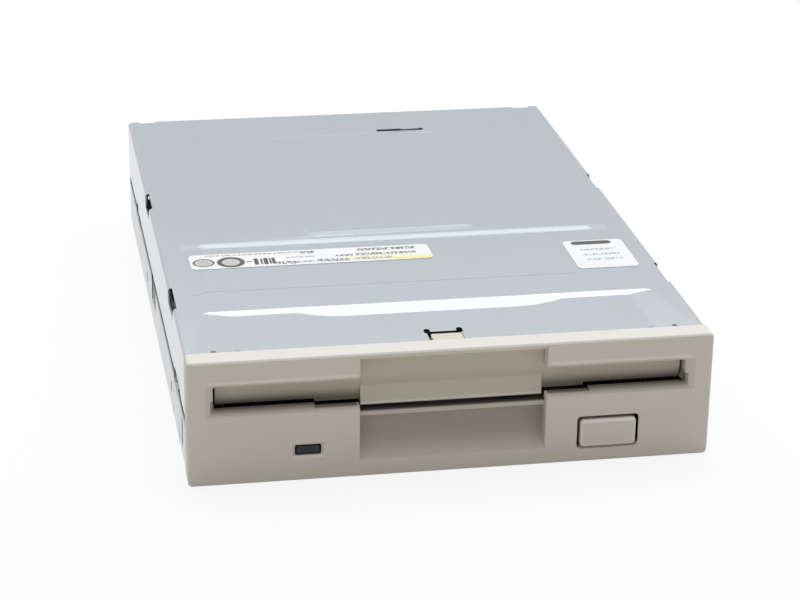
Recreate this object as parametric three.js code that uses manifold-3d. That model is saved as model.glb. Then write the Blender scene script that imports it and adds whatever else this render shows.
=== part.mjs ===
// A 3.5-inch floppy disk drive, taken apart into the pieces it has on a bench.
// Millimetres, +Z up, the bezel facing -Y. Depths (y) run back from the bezel's face and heights (z)
// up from the table; the last lines move the whole drive so that its origin is under its middle.
import * as THREE from 'three';
import { mergeVertices } from 'three/addons/utils/BufferGeometryUtils.js';
import Module from 'manifold-3d';

const wasm = await Module();
wasm.setup();

// The disk that the drive takes, and how it lies in it
const diskWidth = 90;
const diskThickness = 3.3;
const hubFromLabelEdge = 47.5;
const labelEdgeInset = 0.5;
const diskRestZ = 15.6;
const liftDrop = 2.75;
const plateTravel = 5.5;
const outerTrackRadius = 39.5;
const headTravel = 14.8;

// Along the drive: the bezel, and behind the heads the head motor and the room for the connectors
const bezelDepth = 4.8;
const headToMotor = 36.5;
const motorShaftGap = 0.3;
const motorLength = 10.4;
const connectorRoom = 12.2;

// Sheets and the gaps between the nested pieces, from the disk outwards
const diskSideGap = 0.3;
const diskFaceGap = 0.2;
const sheet = 0.8;
const plateSideGap = 0.4;
const plateTopGap = 0.6;
const tabGap = 1.5;
const chassisSheet = 1;
const coverGap = 0.28;
const coverSheet = 0.6;
const headroom = 2.98;
const bezelOverhang = 0.12;
const bezelLip = 0.52;
const frontGap = 0.3;
const seatGap = 0.2;
const runGap = 0.3;
const overrun = 1;
const weldDistance = 0.0001;

// Facets round a circle
const fineSides = 32;
const roundSides = 24;
const pinSides = 12;
const wireSides = 4;
const cornerSteps = 3;
const curveSteps = 8;
const roundEndShare = 0.49;

// Half widths, from the disk outwards
const holderInner = diskWidth / 2 + diskSideGap;
const holderOuter = holderInner + sheet;
const plateInner = holderOuter + plateSideGap;
const plateOuter = plateInner + sheet;
const tabInner = plateOuter + tabGap;
const tabOuter = tabInner + chassisSheet;
const coverInner = tabOuter + coverGap;
const coverOuter = coverInner + coverSheet;
const bezelHalf = coverOuter + bezelOverhang;

// Heights, from the disk outwards
const lipTop = diskRestZ - diskFaceGap;
const lipUnder = lipTop - sheet;
const trayUnder = diskRestZ + diskThickness + diskFaceGap;
const trayTop = trayUnder + sheet;
const plateUnder = trayTop + plateTopGap;
const plateTop = plateUnder + sheet;
const coverUnder = plateTop + headroom;
const coverTop = coverUnder + coverSheet;
const bezelHeight = coverTop + bezelLip;

// Depths
const spindleY = labelEdgeInset + hubFromLabelEdge;
const headY = spindleY + outerTrackRadius;
const bodyFront = bezelDepth + frontGap;
const motorFront = headY + headToMotor;
const motorRear = motorFront + motorShaftGap + motorLength;
const bodyRear = motorRear + connectorRoom;

// Geometry helpers. A range is a pair of low and high.
const xAxis = new THREE.Vector3(1, 0, 0);
const yAxis = new THREE.Vector3(0, 1, 0);
const zAxis = new THREE.Vector3(0, 0, 1);
const quarter = Math.PI / 2;

const middle = ([low, high]) => (low + high) / 2;
const span = ([low, high]) => high - low;
const about = (centre, size) => [centre - size / 2, centre + size / 2];
const from = (low, size) => [low, low + size];
const past = ([low, high]) => [low - overrun, high + overrun];

function outward(geometry) {
  const place = geometry.attributes.position;
  const index = geometry.index.array;
  const [a, b, c] = [new THREE.Vector3(), new THREE.Vector3(), new THREE.Vector3()];
  let volume = 0;
  for (let i = 0; i < index.length; i += 3) {
    a.fromBufferAttribute(place, index[i]);
    b.fromBufferAttribute(place, index[i + 1]);
    c.fromBufferAttribute(place, index[i + 2]);
    volume += a.dot(b.cross(c));
  }
  if (volume < 0) {
    for (let i = 0; i < index.length; i += 3) [index[i], index[i + 1]] = [index[i + 1], index[i]];
  }
  return geometry;
}

function welded(geometry) {
  const bare = geometry.clone();
  bare.deleteAttribute('normal');
  bare.deleteAttribute('uv');
  return outward(mergeVertices(bare, weldDistance));
}

function toSolid(geometry) {
  const bare = welded(geometry);
  return new wasm.Manifold(new wasm.Mesh({
    numProp: 3,
    vertProperties: new Float32Array(bare.attributes.position.array),
    triVerts: new Uint32Array(bare.index.array),
  }));
}

function toGeometry(solid) {
  const mesh = solid.getMesh();
  const geometry = new THREE.BufferGeometry();
  geometry.setAttribute('position', new THREE.BufferAttribute(new Float32Array(mesh.vertProperties), 3));
  geometry.setIndex(new THREE.BufferAttribute(new Uint32Array(mesh.triVerts), 1));
  geometry.computeVertexNormals();
  return geometry;
}

const fuse = (...pieces) => toGeometry(pieces.flat(2).map(toSolid).reduce((a, b) => a.add(b)));
const cut = (base, ...tools) => (
  toGeometry(tools.flat(2).map(toSolid).reduce((a, b) => a.subtract(b), toSolid(base)))
);

// Outlines drawn in (u, v), built up along w, and then laid along x, y or z
const layAlongX = (geometry) => geometry.applyMatrix4(new THREE.Matrix4().makeBasis(yAxis, zAxis, xAxis));
const layAlongY = (geometry) => (
  geometry.applyMatrix4(new THREE.Matrix4().makeBasis(xAxis, zAxis, yAxis.clone().negate()))
);

const block = (xs, ys, zs) => (
  new THREE.BoxGeometry(span(xs), span(ys), span(zs)).translate(middle(xs), middle(ys), middle(zs))
);
const outline = (points) => new THREE.Shape(points.map(([u, v]) => new THREE.Vector2(u, v)));
const extrude = (shape, depth) => (
  new THREE.ExtrudeGeometry(shape, { depth, bevelEnabled: false, curveSegments: cornerSteps })
);
const alongZ = (shape, zs) => extrude(shape, span(zs)).translate(0, 0, zs[0]);
const alongX = (shape, xs) => layAlongX(extrude(shape, span(xs))).translate(xs[0], 0, 0);
const alongY = (shape, ys) => layAlongY(extrude(shape, span(ys))).translate(0, ys[1], 0);

const rod = (radius, length, sides = pinSides) => new THREE.CylinderGeometry(radius, radius, length, sides);
const rodX = (radius, xs, y, z, sides) => (
  rod(radius, span(xs), sides).rotateZ(quarter).translate(middle(xs), y, z)
);
const rodY = (radius, x, ys, z, sides) => rod(radius, span(ys), sides).translate(x, middle(ys), z);
const rodZ = (radius, x, y, zs, sides) => (
  rod(radius, span(zs), sides).rotateX(quarter).translate(x, y, middle(zs))
);

// A turned piece about the z axis, from a list of [radius, height]
const turned = (profile, sides = roundSides) => (
  new THREE.LatheGeometry(profile.map(([r, h]) => new THREE.Vector2(r, h)), sides).rotateX(quarter)
);

function roundedPoints(xs, ys, radius) {
  const points = [];
  const corners = [[xs[1] - radius, ys[1] - radius], [xs[0] + radius, ys[1] - radius],
    [xs[0] + radius, ys[0] + radius], [xs[1] - radius, ys[0] + radius]];
  corners.forEach(([u, v], corner) => {
    for (let step = 0; step <= cornerSteps; step += 1) {
      const angle = (corner + step / cornerSteps) * quarter;
      points.push([u + radius * Math.cos(angle), v + radius * Math.sin(angle)]);
    }
  });
  return points;
}
const rounded = (xs, ys, radius) => outline(roundedPoints(xs, ys, radius));

// A solid through outlines of equally many points, each [height, points]
function loft(sections) {
  const count = sections[0][1].length;
  const places = sections.flatMap(([w, points]) => points.flatMap(([u, v]) => [u, v, w]));
  const index = [];
  for (let level = 0; level < sections.length - 1; level += 1) {
    for (let i = 0; i < count; i += 1) {
      const a = level * count + i;
      const b = level * count + (i + 1) % count;
      index.push(a, b, b + count, a, b + count, a + count);
    }
  }
  const last = (sections.length - 1) * count;
  const flat = (section) => section[1].map(([u, v]) => new THREE.Vector2(u, v));
  THREE.ShapeUtils.triangulateShape(flat(sections[0]), []).forEach(([a, b, c]) => index.push(c, b, a));
  THREE.ShapeUtils.triangulateShape(flat(sections.at(-1)), [])
    .forEach(([a, b, c]) => index.push(last + a, last + b, last + c));
  const geometry = new THREE.BufferGeometry();
  geometry.setAttribute('position', new THREE.Float32BufferAttribute(places, 3));
  geometry.setIndex(index);
  return geometry;
}
const loftY = (sections) => (
  layAlongY(loft(sections.map(([y, points]) => [-y, points]).sort((a, b) => a[0] - b[0])))
);
const mirrored = (points) => [...points, ...points.map(([u, v]) => [-u, v]).reverse()];

// A wire along a curve, and how near it comes to itself
function wireAlong(points, radius) {
  const path = new THREE.CatmullRomCurve3(points, false, 'centripetal');
  const ring = [];
  for (let i = 0; i < wireSides; i += 1) {
    const angle = (i / wireSides) * 2 * Math.PI;
    ring.push([radius * Math.cos(angle), radius * Math.sin(angle)]);
  }
  return new THREE.ExtrudeGeometry(outline(ring), {
    steps: points.length - 1, extrudePath: path, bevelEnabled: false,
  });
}

// Points of a coil about +z: turns at a pitch, with straight legs added by the caller
function coilPoints(coil) {
  const points = [];
  const steps = Math.round(coil.turns * coil.stepsPerTurn);
  for (let i = 0; i <= steps; i += 1) {
    const angle = coil.startAngle + coil.sense * (i / coil.stepsPerTurn) * 2 * Math.PI;
    points.push(new THREE.Vector3(coil.radius * Math.cos(angle), coil.radius * Math.sin(angle),
      (i / coil.stepsPerTurn) * coil.pitch));
  }
  return points;
}

function tellLeastGap(name, points, coil) {
  let least = Infinity;
  const apart = Math.ceil(coil.stepsPerTurn / 2);
  for (let i = 0; i < points.length; i += 1) {
    for (let j = i + apart; j < points.length; j += 1) {
      least = Math.min(least, points[i].distanceTo(points[j]) - 2 * coil.wire);
    }
  }
  console.log(`${name}: least gap to itself ${least.toFixed(2)} mm`);
}

// Finishes
const finish = (color, roughness, metalness) => (
  new THREE.MeshStandardMaterial({ color, roughness, metalness })
);
const creamPlastic = () => finish(0xd8d2c4, 0.5, 0);
const flapPlastic = () => finish(0xc9c3b4, 0.5, 0);
const blackPlastic = () => finish(0x24242a, 0.5, 0);
const greyPlastic = () => finish(0x8d8d90, 0.55, 0);
const coverSteel = () => finish(0xc4cad1, 0.38, 0.8);
const plainSteel = () => finish(0xa9adb2, 0.4, 0.9);
const brightSteel = () => finish(0xd0d2d5, 0.25, 1);
const brass = () => finish(0xb99b55, 0.35, 1);
const greenBoard = () => finish(0x2f6b45, 0.5, 0);
const copper = () => finish(0xa8623a, 0.4, 0.8);
const amberFilm = () => finish(0xb87a32, 0.4, 0);
const smokyClear = () => finish(0x2d3036, 0.2, 0);

const drive = new THREE.Group();

function addPiece(name, geometry, material, parent = drive) {
  const mesh = new THREE.Mesh(geometry, material);
  mesh.name = name;
  parent.add(mesh);
  return mesh;
}

function subassembly(x, y, z, parent = drive) {
  const group = new THREE.Group();
  group.position.set(x, y, z);
  parent.add(group);
  return group;
}

// Bezel: a shallow moulding with a bevelled slot, a raised-plate recess over a thumb scoop, pockets behind
const slotGap = { side: 0.8, floor: 0.4, roof: 0.9 };
const slotHalf = diskWidth / 2 + slotGap.side;
const slotZ = [diskRestZ - slotGap.floor, diskRestZ + diskThickness + slotGap.roof];
const bezel = {
  edge: 0.35, corner: 0.8, slotBevel: 1.6, slotBevelRise: 1, slotBevelDepth: 1.3,
  lipHalf: 26.6, lipDrop: 0.15, lipChamfer: 0.6,
  recessHalf: 18.1, recessBottom: 12.9, recessTopBelow: 1.4, chamfer: 0.9,
  barFront: 1.8, barHeight: 1, scoopBottom: 3.5, scoopDepth: 4.2, scoopStraight: 0.7, scoopBulgeShare: 0.86,
  bayFront: 3, bayTopBelow: 1.6, flapGap: 0.3, sillBack: 2.2, sillUnder: 1.7,
  pocketFront: 2.2, pocketInner: 19.6, pocketBottom: 1.6, pocketTop: 11.2, rim: 1.8, rib: 1, ribX: 41,
  earBack: 1.5, earWidth: 1.7, earTopBelow: 1.8, earHeight: 3.2, earHole: 1.2,
  armThick: 1.1, armZ: 6, armHeight: 4.4, armReach: 8.2, hookDeep: 1.4, hookReach: 0.9,
  tongueHalf: 3, tongueReach: 4.1, tongueThick: 1.15, tongueBelow: 0.5,
};
const flapHang = { inset: 0.2, below: 3, sideGap: 0.6 };
const flapAxisY = bezelDepth - flapHang.inset;
const flapAxisZ = bezelHeight - flapHang.below;
const flapHalf = slotHalf - flapHang.sideGap;
const flapPin = { radius: 0.8, gap: 0.25, reach: 0.95 };
const lens = { x: -27.925, z: 6.15, width: 4.7, height: 1.8, gap: 0.18, inset: 0.5, depth: 4.6 };
const lensBevel = { side: 0.5, depth: 0.55, collar: 1 };
const button = { x: 30.5, z: 6.18, width: 11, height: 5.65, gap: 0.6, corner: 0.75, edge: 0.4, proud: 0.6 };
const holeRound = (part) => [
  about(part.x, part.width + 2 * part.gap),
  about(part.z, part.height + 2 * part.gap),
];
const buttonHole = holeRound(button);
const lensHole = holeRound(lens);
const wider = ([low, high], by) => [low - by, high + by];
const onSide = ([low, high], side) => [side * low, side * high].sort((a, b) => a - b);

function bezelBlock() {
  const inner = roundedPoints([bezel.edge - bezelHalf, bezelHalf - bezel.edge],
    [bezel.edge, bezelHeight - bezel.edge], bezel.corner);
  const outer = roundedPoints([-bezelHalf, bezelHalf], [0, bezelHeight], bezel.corner);
  return loftY([[0, inner], [bezel.edge, outer], [bezelDepth, outer]]);
}

function slotCutter() {
  const mouth = roundedPoints(wider([-slotHalf, slotHalf], bezel.slotBevel),
    wider(slotZ, bezel.slotBevelRise), bezel.edge);
  const throat = roundedPoints([-slotHalf, slotHalf], slotZ, bezel.edge);
  return loftY([[-overrun, mouth], [0, mouth], [bezel.slotBevelDepth, throat], [bezelDepth, throat]]);
}

function lowerLipCutter() {
  const low = slotZ[0] - bezel.slotBevelRise - bezel.lipDrop;
  const sill = low + bezel.lipChamfer;
  const high = slotZ[0] + bezel.edge;
  return alongX(outline([[-overrun, low], [0, low], [bezel.lipChamfer, sill], [bezelDepth, sill],
    [bezelDepth, high], [-overrun, high]]), [-bezel.lipHalf, bezel.lipHalf]);
}

function recessCutter() {
  const barUnder = bezel.recessBottom - bezel.barHeight;
  const ceiling = bezelHeight - bezel.recessTopBelow;
  const side = new THREE.Shape();
  side.moveTo(-overrun, bezel.scoopBottom);
  side.lineTo(0, bezel.scoopBottom);
  side.quadraticCurveTo(bezel.scoopDepth * bezel.scoopBulgeShare, bezel.scoopBottom + bezel.scoopStraight * 2,
    bezel.scoopDepth, barUnder - bezel.scoopStraight);
  side.lineTo(bezel.scoopDepth, barUnder);
  side.lineTo(bezel.barFront, barUnder);
  side.lineTo(bezel.barFront, bezel.recessBottom);
  side.lineTo(bezelDepth + overrun, bezel.recessBottom);
  side.lineTo(bezelDepth + overrun, ceiling);
  side.lineTo(bezel.chamfer, ceiling);
  side.lineTo(0, ceiling + bezel.chamfer);
  side.lineTo(-overrun, ceiling + bezel.chamfer);
  const shape = new THREE.ExtrudeGeometry(side, {
    depth: 2 * bezel.recessHalf, bevelEnabled: false, curveSegments: curveSteps,
  });
  return layAlongX(shape).translate(-bezel.recessHalf, 0, 0);
}

function bezelRearPockets() {
  const behind = [bezel.pocketFront, bezelDepth + overrun];
  const pocketZ = [bezel.pocketBottom, bezel.pocketTop];
  const edges = [bezel.pocketInner, bezel.ribX - bezel.rib, bezel.ribX, bezelHalf - bezel.rim];
  return [-1, 1].flatMap((side) => [0, 2].map((first) => (
    block(onSide([edges[first], edges[first + 1]], side), behind, pocketZ))));
}

function snapArm(side) {
  const inner = bezelHalf - bezel.rim - bezel.armThick;
  const ys = [bezel.pocketFront, bezelDepth + bezel.armReach];
  const plan = outline([[inner, ys[0]], [inner, ys[1]], [inner + bezel.armThick / 2, ys[1]],
    [inner + bezel.armThick + bezel.hookReach, ys[1] - bezel.hookDeep],
    [inner + bezel.armThick, ys[1] - bezel.hookDeep], [inner + bezel.armThick, ys[0]]]
    .map(([x, y]) => [side * x, y]));
  return alongZ(plan, about(bezel.armZ, bezel.armHeight));
}

function bezelGeometry() {
  const bayZ = [slotZ[0] - bezel.flapGap, bezelHeight - bezel.bayTopBelow];
  const bayX = wider([-flapHalf, flapHalf], bezel.flapGap);
  const bay = block(bayX, [bezel.bayFront, bezelDepth + overrun], bayZ);
  const underSill = block(bayX, [bezel.sillBack, bezelDepth + overrun],
    [slotZ[0] - bezel.sillUnder, slotZ[0] + bezel.edge]);
  const collar = block(wider(lensHole[0], lensBevel.collar), [bezel.edge * 2, bezelDepth],
    wider(lensHole[1], lensBevel.collar));
  const lensMouth = roundedPoints(wider(lensHole[0], lensBevel.side), wider(lensHole[1], lensBevel.side),
    bezel.edge);
  const lensThroat = roundedPoints(...lensHole, bezel.edge);
  const lensCutter = loftY([[-overrun, lensMouth], [0, lensMouth], [lensBevel.depth, lensThroat],
    [bezelDepth + overrun, lensThroat]]);
  const earZ = [bezelHeight - bezel.earTopBelow - bezel.earHeight, bezelHeight - bezel.earTopBelow];
  const earInner = flapHalf + bezel.flapGap;
  const sides = [-1, 1];
  const ears = sides.map((side) => block(onSide(from(earInner, bezel.earWidth), side),
    [bezel.bayFront, bezelDepth + bezel.earBack], earZ));
  const pinHoles = sides.map((side) => rodX(flapPin.radius + flapPin.gap,
    onSide([earInner - overrun, earInner + bezel.earHole], side), flapAxisY, flapAxisZ));
  const tongueTop = bezelHeight - bezel.tongueBelow;
  const tongue = block([-bezel.tongueHalf, bezel.tongueHalf],
    [bezelDepth - bezel.edge, bezelDepth + bezel.tongueReach],
    [tongueTop - bezel.tongueThick, tongueTop]);
  const buttonCutter = alongY(rounded(...buttonHole, button.corner), past([0, bezelDepth]));
  const shell = cut(bezelBlock(), slotCutter(), lowerLipCutter(), recessCutter(), bay, underSill,
    bezelRearPockets());
  return cut(fuse(shell, collar, ears, tongue, sides.map(snapArm)), lensCutter, buttonCutter, pinHoles);
}
addPiece('bezel', bezelGeometry(), creamPlastic());

// Slot flap: hangs from two pins, with a raised centre plate; modelled about its own axis
const flap = {
  front: 3.25, thick: 1.15, topAbove: 0.7, lowerGap: 0.15, springNotch: 3.4, springDeep: 1.9,
  curlFrom: 2.9, curlBack: 0.95, hem: 0.45, lipHalf: 26.2, lipBelow: 0.6,
  plateHalf: 17.6, plateBottom: 13.62, plateTopAbove: 1.2, plateTopBack: 4.9,
  plateFrontTop: 4.15, plateFrontLow: 2.45, plateThick: 1.3, lipRound: 0.9,
};
const flapGroup = subassembly(0, flapAxisY, flapAxisZ);

function flapGeometry() {
  const low = slotZ[0] - flap.lowerGap - flapAxisZ;
  const front = flap.front - flapAxisY;
  const curlTop = low + flap.curlFrom;
  const hemYs = from(front + flap.curlBack, flap.hem);
  const curl = new THREE.Shape();
  curl.moveTo(front + flap.thick, flap.topAbove);
  curl.lineTo(front, flap.topAbove);
  curl.lineTo(front, curlTop);
  curl.quadraticCurveTo(front, middle([curlTop, low]), hemYs[0], low);
  curl.lineTo(hemYs[1], low);
  curl.quadraticCurveTo(front + flap.thick, middle([curlTop, low]), front + flap.thick, curlTop);
  const sheetPart = alongX(curl, [-flapHalf, flapHalf]);
  const lip = block([-flap.lipHalf, flap.lipHalf], hemYs,
    from(low - flap.lipBelow, flap.lipBelow + flap.hem));
  const plateLow = flap.plateBottom - flapAxisZ;
  const lowFront = flap.plateFrontLow - flapAxisY;
  const topFront = flap.plateFrontTop - flapAxisY;
  const profile = new THREE.Shape();
  profile.moveTo(flap.plateTopBack - flapAxisY, flap.plateTopAbove);
  profile.lineTo(topFront, flap.plateTopAbove);
  profile.lineTo(lowFront, plateLow + flap.lipRound);
  profile.quadraticCurveTo(lowFront, plateLow, lowFront + flap.lipRound, plateLow);
  profile.lineTo(lowFront + flap.plateThick, plateLow + flap.lowerGap);
  profile.lineTo(front + flap.thick, low);
  const plate = alongX(profile, [-flap.plateHalf, flap.plateHalf]);
  const pins = rodX(flapPin.radius, wider([-flapHalf, flapHalf], flapPin.reach), 0, 0);
  const notch = block([-flapHalf - overrun, -flapHalf + flap.springNotch],
    wider([front, front + flap.thick], overrun),
    [-flap.springDeep, flap.topAbove + overrun]);
  const stubX = [-flapHalf - flapPin.reach, -flapHalf + flap.springNotch + overrun];
  const pinStub = rodX(flapPin.radius, stubX, 0, 0);
  return fuse(cut(fuse(sheetPart, plate, lip, pins), notch), pinStub);
}
addPiece('slot_flap', flapGeometry(), flapPlastic(), flapGroup);

// Torsion spring round the flap's left pin, one leg up under the bezel's roof and one down behind the flap
const flapCoil = {
  radius: 1.1, wire: 0.14, turns: 2.25, pitch: 0.8, stepsPerTurn: 8, startAngle: quarter, sense: -1,
  rest: 1.3, legDown: 3.4, legIn: 0.9,
};
function flapSpringGeometry() {
  const coil = coilPoints(flapCoil);
  tellLeastGap('flap spring', coil, flapCoil);
  const end = coil.at(-1);
  const front = coil[0].clone().add(new THREE.Vector3(-flapCoil.rest, 0, 0));
  const down = end.clone().add(new THREE.Vector3(-flapCoil.legIn, -flapCoil.legDown, 0));
  return layAlongX(wireAlong([front, ...coil, down], flapCoil.wire));
}
addPiece('flap_spring', flapSpringGeometry(), brightSteel(),
  subassembly(-flapHalf + flapPin.gap * 2, 0, 0, flapGroup));

// Lamp lens, a light pipe pressed into the bezel, and the lamp behind it on the motor board
const lensBack = lens.inset + lens.depth;
const lensOutline = (size) => (
  roundedPoints(about(lens.x, lens.width - size), about(lens.z, lens.height - size), bezel.edge)
);
addPiece('lamp_lens', loftY([
  [lens.inset, lensOutline(bezel.edge)],
  [lens.inset + bezel.edge, lensOutline(0)],
  [lensBack, lensOutline(0)],
]), smokyClear());

// Motor board: the steel-backed board under the disk, carrying the spindle motor, the lamp and the switches
const board = {
  thick: 1.2, z: 3, sideGap: 3, before: 35.4, behind: 28.5, corner: 2, screwInset: 5.5, screwBehind: 20.4,
  rearScrewInset: 4,
};
const boardHalf = plateInner - board.sideGap;
const boardYs = [spindleY - board.before, spindleY + board.behind];
const boardTop = board.z + board.thick;
const lamp = { length: 5, width: 5, height: 2.4, leg: 0.5, legSpread: 2.5, legBack: 2.2 };
const lampYs = from(lensBack + seatGap, lamp.length);
const lampLegs = [-1, 1].map((side) => {
  const x = lens.x + side * lamp.legSpread / 2;
  const leg = about(x, lamp.leg);
  const bend = from(lampYs[1] + lamp.legBack - lamp.leg, lamp.leg);
  return [block(leg, [lampYs[1] - lamp.leg, bend[1]], about(lens.z, lamp.leg)),
    block(leg, bend, [boardTop + seatGap / 2, lens.z + lamp.leg / 2])];
});
addPiece('lamp', fuse(block(about(lens.x, lamp.width), lampYs, about(lens.z, lamp.height)), lampLegs),
  finish(0xc8e0b0, 0.3, 0));

// Eject button, on the slide plate's front tongue
const tongueFace = { y: 10.6, z: [3.6, 9], inner: 27.2 };
function buttonGeometry() {
  const xs = about(button.x, button.width);
  const zs = about(button.z, button.height);
  const small = roundedPoints(wider(xs, -button.edge), wider(zs, -button.edge),
    button.corner - button.edge / 2);
  const most = roundedPoints(wider(xs, -button.edge / 4), wider(zs, -button.edge / 4), button.corner);
  const full = roundedPoints(xs, zs, button.corner);
  const back = tongueFace.y - seatGap;
  const cap = loftY([[-button.proud, small], [button.edge / 2 - button.proud, most],
    [button.edge - button.proud, full], [back, full]]);
  const wall = sheet * 2;
  const hollow = block(wider(xs, -wall), [bezelDepth, tongueFace.y], [zs[0] - overrun, zs[1] - wall]);
  const rib = block(about(button.x, sheet), [bezelDepth - sheet, back], wider(zs, -sheet / 2));
  return fuse(cut(cap, hollow), rib);
}
addPiece('eject_button', buttonGeometry(), creamPlastic());

// Top cover: a pressed lid with a stepped front, a raised panel, a cross bead and three bent flanges
const cover = {
  seamZ: 12.2, bend: 0.7, landDrop: 0.6, stepY: 25.8, outerStepY: 24.5, stepEnd: 0.6,
  landSideInset: 1.28, tipInset: 6.08, landInset: 9.18, outerInset: 10.88,
  centreStepY: 21.6, tipY: 25.1, centreHalf: 16.5, curveIn: 3.9, curveMid: 7.5, curveOut: 10.3,
  panelX: [-20.2, 18.2], panelFront: 64.3, panelRearInset: 15.7, panelRise: 0.3, panelSlope: 1.1,
  panelCorner: 4,
  beadHalf: 42.5, beadY: 61.2, beadWidth: 2.8, beadRise: 0.42, beadSlope: 0.8,
  slotX: [7.7, 18.3], slotInset: 13.9, slotWidth: 1, slotEye: 0.75,
  notchHalf: 3.4, notchBack: 11.4, reliefHalf: 0.6, reliefBack: 12.3, reliefX: 3.2,
  earInner: 48.1, flangeHalf: 44.2, earDip: 0.8, rearSill: 15.6,
  sideSlotZ: [21.9, 25.2], sideSlots: [[28.6, 39.2], [86, 95.5]],
  seamNotchZ: 13.4, frontNotch: [16, 27], rearNotchInset: 27.4, rearNotchLength: 5,
};
const coverSlotY = bodyRear - cover.slotInset;
const coverTipHalf = coverOuter - cover.tipInset;
const coverOuterHalf = coverOuter - cover.outerInset;
const rearSeamNotch = from(bodyRear - cover.rearNotchInset, cover.rearNotchLength);
const coverCurve = [cover.curveIn, cover.curveMid, cover.curveOut].map((by) => cover.centreHalf + by);

const landTop = mirrored([
  [coverOuter - cover.landSideInset, bodyFront - overrun], [coverTipHalf + cover.stepEnd, cover.tipY],
  [coverTipHalf - cover.stepEnd, cover.stepY], [coverOuterHalf, cover.stepY],
  [coverCurve[2], cover.stepY], [coverCurve[1], cover.stepY], [coverCurve[0], cover.stepY],
  [cover.centreHalf, cover.stepY]]);
const landBottom = mirrored([
  [coverOuter - cover.landInset, bodyFront - overrun], [coverOuterHalf + cover.stepEnd, cover.outerStepY],
  [coverOuterHalf, cover.outerStepY], [coverOuterHalf - cover.stepEnd, cover.outerStepY],
  [coverCurve[2], cover.outerStepY], [coverCurve[1], (cover.outerStepY + cover.centreStepY) / 2],
  [coverCurve[0], cover.centreStepY + cover.stepEnd / 2], [cover.centreHalf, cover.centreStepY]]);
const landCutter = (top) => (
  loft([[top - cover.landDrop, landBottom], [top, landTop], [top + overrun, landTop]])
);

function bump(top, xs, ys, rise, slope, corner) {
  const low = roundedPoints(xs, ys, corner);
  const crest = [wider(xs, -slope), wider(ys, -slope)];
  const high = roundedPoints(...crest, Math.min(corner - slope / 2, span(crest[1]) * roundEndShare));
  return loft([[top - overrun / 4, low], [top, low], [top + rise, high]]);
}
const pressings = (top) => [
  bump(top, cover.panelX, [cover.panelFront, bodyRear - cover.panelRearInset], cover.panelRise,
    cover.panelSlope, cover.panelCorner),
  bump(top, [-cover.beadHalf, cover.beadHalf], about(cover.beadY, cover.beadWidth), cover.beadRise,
    cover.beadSlope, cover.beadWidth * roundEndShare)];

function coverGeometry() {
  const section = new THREE.Shape();
  section.moveTo(-coverOuter, cover.seamZ);
  section.lineTo(coverOuter, cover.seamZ);
  section.lineTo(coverOuter, coverTop - cover.bend);
  section.absarc(coverOuter - cover.bend, coverTop - cover.bend, cover.bend, 0, quarter);
  section.absarc(cover.bend - coverOuter, coverTop - cover.bend, cover.bend, quarter, 2 * quarter);
  const skin = fuse(cut(alongY(section, [bodyFront, bodyRear]), landCutter(coverTop)), pressings(coverTop));
  const room = block([-coverInner, coverInner], [bodyFront - overrun, bodyRear - coverSheet],
    [cover.seamZ - overrun, coverUnder]);
  const inside = fuse(cut(room, landCutter(coverUnder)), pressings(coverUnder));
  const behind = [bodyRear - coverSheet - overrun / 4, bodyRear + overrun];
  const down = cover.seamZ - overrun;
  const seamNotches = [cover.frontNotch, rearSeamNotch];
  const cuts = [-1, 1].flatMap((side) => [
    block(onSide([cover.flangeHalf, cover.earInner], side), [bodyRear - cover.earDip, bodyRear + overrun],
      [down, coverTop + overrun]),
    block(onSide([cover.earInner - overrun, coverInner], side), behind, [down, coverUnder]),
    ...cover.sideSlots.map((ys) => block(onSide([coverInner - overrun / 4, coverOuter + overrun], side), ys,
      [cover.sideSlotZ[0], cover.sideSlotZ[1] + overrun])),
    ...seamNotches.map((ys) => block(onSide([coverInner - overrun, coverOuter + overrun], side), ys,
      [down, cover.seamNotchZ])),
    rodZ(cover.reliefHalf, side * cover.reliefX, cover.reliefBack,
      past([coverUnder - cover.landDrop, coverTop])),
    block(about(side * cover.reliefX, 2 * cover.reliefHalf),
      [cover.notchBack - cover.reliefHalf, cover.reliefBack], past([coverUnder - cover.landDrop, coverTop])),
  ]);
  const sill = block(wider([-cover.flangeHalf, cover.flangeHalf], overrun), behind, [down, cover.rearSill]);
  const notch = block([-cover.notchHalf, cover.notchHalf], [bodyFront - overrun, cover.notchBack],
    past([coverUnder - cover.landDrop, coverTop]));
  const rearSlot = block(cover.slotX, about(coverSlotY, cover.slotWidth), past([coverUnder, coverTop]));
  const eye = rodZ(cover.slotEye, cover.slotX[1], coverSlotY, past([coverUnder, coverTop]));
  return cut(skin, inside, cuts, sill, notch, rearSlot, eye);
}
addPiece('top_cover', coverGeometry(), coverSteel());

// Where the head carriage's rod, rail and lead screw lie
const rodX0 = -16;
const guide = { radius: 1.5, z: 8, boardGap: 1, behind: 39.5, gap: 0.2 };
const guideYs = [boardYs[1] + guide.boardGap, headY + guide.behind];
const rail = { x: 21, width: 4, top: 11.2, foot: 6, before: 7.5, behind: 27.1, thick: 1 };
const screwX = 12;
const screwZ = 9;
const clamp = { length: 4, width: 7, foot: 10, footThick: 1.2, cap: 1.5, gap: 0.2 };
const clampYs = [guideYs[0] + clamp.length / 2, guideYs[1] - clamp.length / 2];
const screw = {
  shank: 0.9, head: 1.9, headThick: 1.1, length: 2.2, gap: 0.25, post: 2, slotWidth: 0.5, slotDeep: 0.45,
  rimShare: 0.6, crownShare: 0.7, slotShare: 1.5,
};
const clampScrewX = rodX0 - clamp.foot + screw.head + screw.gap;

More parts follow.
